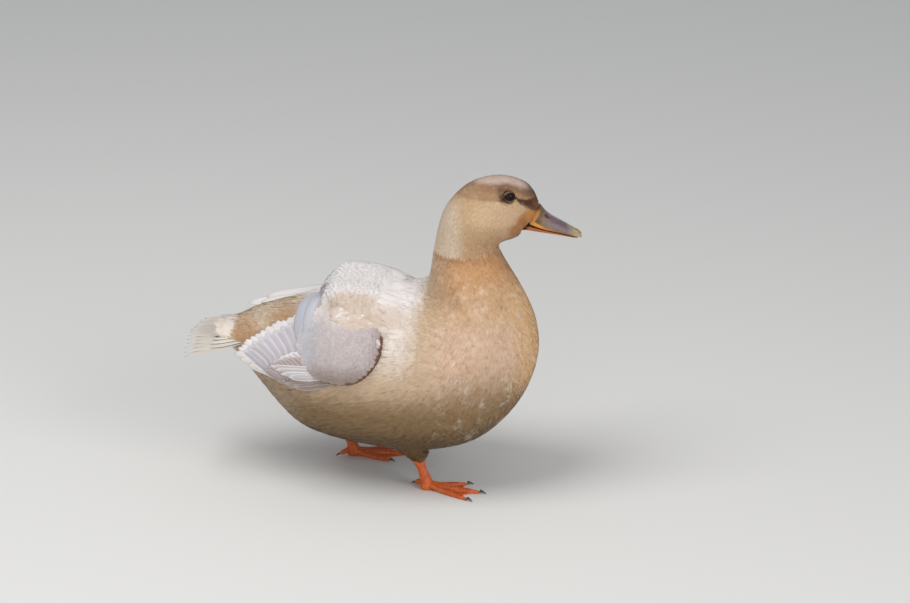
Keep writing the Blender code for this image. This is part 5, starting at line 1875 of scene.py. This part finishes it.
def copiedParts(nodes):
    parts = []
    for name in nodes:
        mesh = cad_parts[name].data
        parts.append(([tuple(v.co) for v in mesh.vertices], [tuple(p.vertices) for p in mesh.polygons]))
    return parts


def scutes(share, count, starts):
    # the grooves between scutes, along a line
    wave = np.abs(((share * count) % 1.0) - 0.5) * 2
    return ease(wave, starts, 1.0)


def makeLeg(side, skin, horn):
    names = [f"shank_{side}", f"foot_{side}"]
    piece = joinedMesh(f"leg_{side}", copiedParts(names))
    settled(piece, ("REMESH", {"mode": "VOXEL", "voxel_size": leg["voxel"]}),
            ("SMOOTH", {"factor": 0.5, "iterations": leg["smoothed"]}))
    points, normals = pointsOf(piece.data), pointsOf(piece.data, "normal")
    shank = pointsOf(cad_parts[names[0]].data)
    low, high = shank[:, 2].min(), shank[:, 2].max()
    ankle = shank[shank[:, 2] < low + 0.003].mean(0)
    hock = shank[shank[:, 2] > high - 0.003].mean(0)
    # scutes down the front of the shank
    distance, share = nearLine(points, ankle, hock)
    ends = ease(share, 0.0, 0.05) * ease(share, 1.0, 0.95)
    front = ease(normals[:, 0], 0.1, 0.6) * ease(distance, 0.012, 0.009) * ends
    grooves = front * scutes(share, leg["shankScutes"], 0.80)
    # and along the top of each toe
    for toe in ("inner", "middle", "outer"):
        claw = middleOf(f"claw_{toe}_{side}")
        distance, share = nearLine(points, (ankle[0], ankle[1], 0.004), (claw.x, claw.y, 0.003))
        top = ease(normals[:, 2], 0.2, 0.6) * ease(distance, 0.0042, 0.0032) * ease(share, 0.16, 0.2)
        top = top * (points[:, 2] < 0.012)
        grooves = np.maximum(grooves, top * scutes(share, leg["toeScutes"], 0.72))
    moved = points - normals * (grooves * leg["groove"])[:, None]
    moved[:, 2] = np.maximum(moved[:, 2], 0.0)
    piece.data.vertices.foreach_set("co", moved.astype(np.float32).ravel())
    piece.data.update()
    paint(piece.data, "ground", np.stack([grooves] * 3, -1))
    piece.data.materials.append(skin)
    standing(piece, "leg", *names)
    for toe in ("inner", "middle", "outer", "hind"):
        name = f"claw_{toe}_{side}"
        claw = joinedMesh(f"horn_{toe}_{side}", copiedParts([name]))
        settled(claw, ("SUBSURF", {"levels": 2, "render_levels": 2}))
        claw.data.materials.append(horn)
        standing(claw, "claw", name)
    print(f"legs: {side}, {len(piece.data.polygons)} faces")


legSkin, clawHorn = legMaterial(), clawMaterial()
for side in sides:
    makeLeg(side, legSkin, clawHorn)


# The camera, the lights and the floor

view = {"azimuth": 8, "elevation": 20, "lens": 200, "sensor": 36, "width": 0.910,
        "across": 0.1911, "up": 0.5399}


def makeCamera():
    turn, tilt = math.radians(view["azimuth"]), math.radians(view["elevation"])
    right = Vector((math.cos(turn), math.sin(turn), 0))
    up = Vector((-math.sin(turn) * math.sin(tilt), math.cos(turn) * math.sin(tilt), math.cos(tilt)))
    back = right.cross(up)
    middle = Vector(((cadLow.x + cadHigh.x) / 2, 0, 0))
    aim = middle + right * view["across"] * duckLength + up * view["up"] * duckHeight
    data = bpy.data.cameras.new("camera")
    data.lens, data.sensor_width = view["lens"], view["sensor"]
    camera = linked("camera", data)
    away = view["lens"] / view["sensor"] * view["width"]
    turned = Matrix((right, up, back)).transposed().to_4x4()
    camera.matrix_world = Matrix.Translation(aim + back * away) @ turned
    bpy.context.scene.camera = camera


lamps = {
    "key": {"at": (-0.75, -0.55, 1.9), "size": 1.3, "power": 22, "colour": (1.0, 0.985, 0.96)},
    "front": {"at": (1.9, -1.5, 1.2), "size": 1.4, "power": 23, "colour": (1.0, 0.97, 0.93)},
    "near": {"at": (0.2, -2.4, 0.9), "size": 1.6, "power": 10, "colour": (0.97, 0.98, 1.0)},
}


def makeLamp(name, lamp):
    data = bpy.data.lights.new(name, "AREA")
    data.shape, data.size, data.energy, data.color = "DISK", lamp["size"], lamp["power"], lamp["colour"]
    light = linked(name, data)
    place = Vector(lamp["at"])
    light.location = place
    light.rotation_euler = (Vector((0, 0, duckHeight / 2)) - place).to_track_quat("-Z", "Y").to_euler()


def makeFloor():
    half = 12 * duckLength
    points = [(-half, -half, 0), (half, -half, 0), (half, half, 0), (-half, half, 0)]
    material, _, _ = newMaterial("floor", (0.74, 0.735, 0.72), 0.8)
    floor = meshPiece("floor", points, [(0, 1, 2, 3)], material, smooth=False)


def makeWorld():
    world = bpy.data.worlds.new("studio")
    world.use_nodes = True
    background = world.node_tree.nodes["Background"]
    background.inputs["Color"].default_value = (0.93, 0.96, 1.0, 1)
    background.inputs["Strength"].default_value = 0.42
    bpy.context.scene.world = world


print("stage: camera, lights and floor")
makeCamera()
for name, lamp in lamps.items():
    makeLamp(name, lamp)
makeFloor()
makeWorld()
bpy.context.scene.view_settings.view_transform = "Standard"
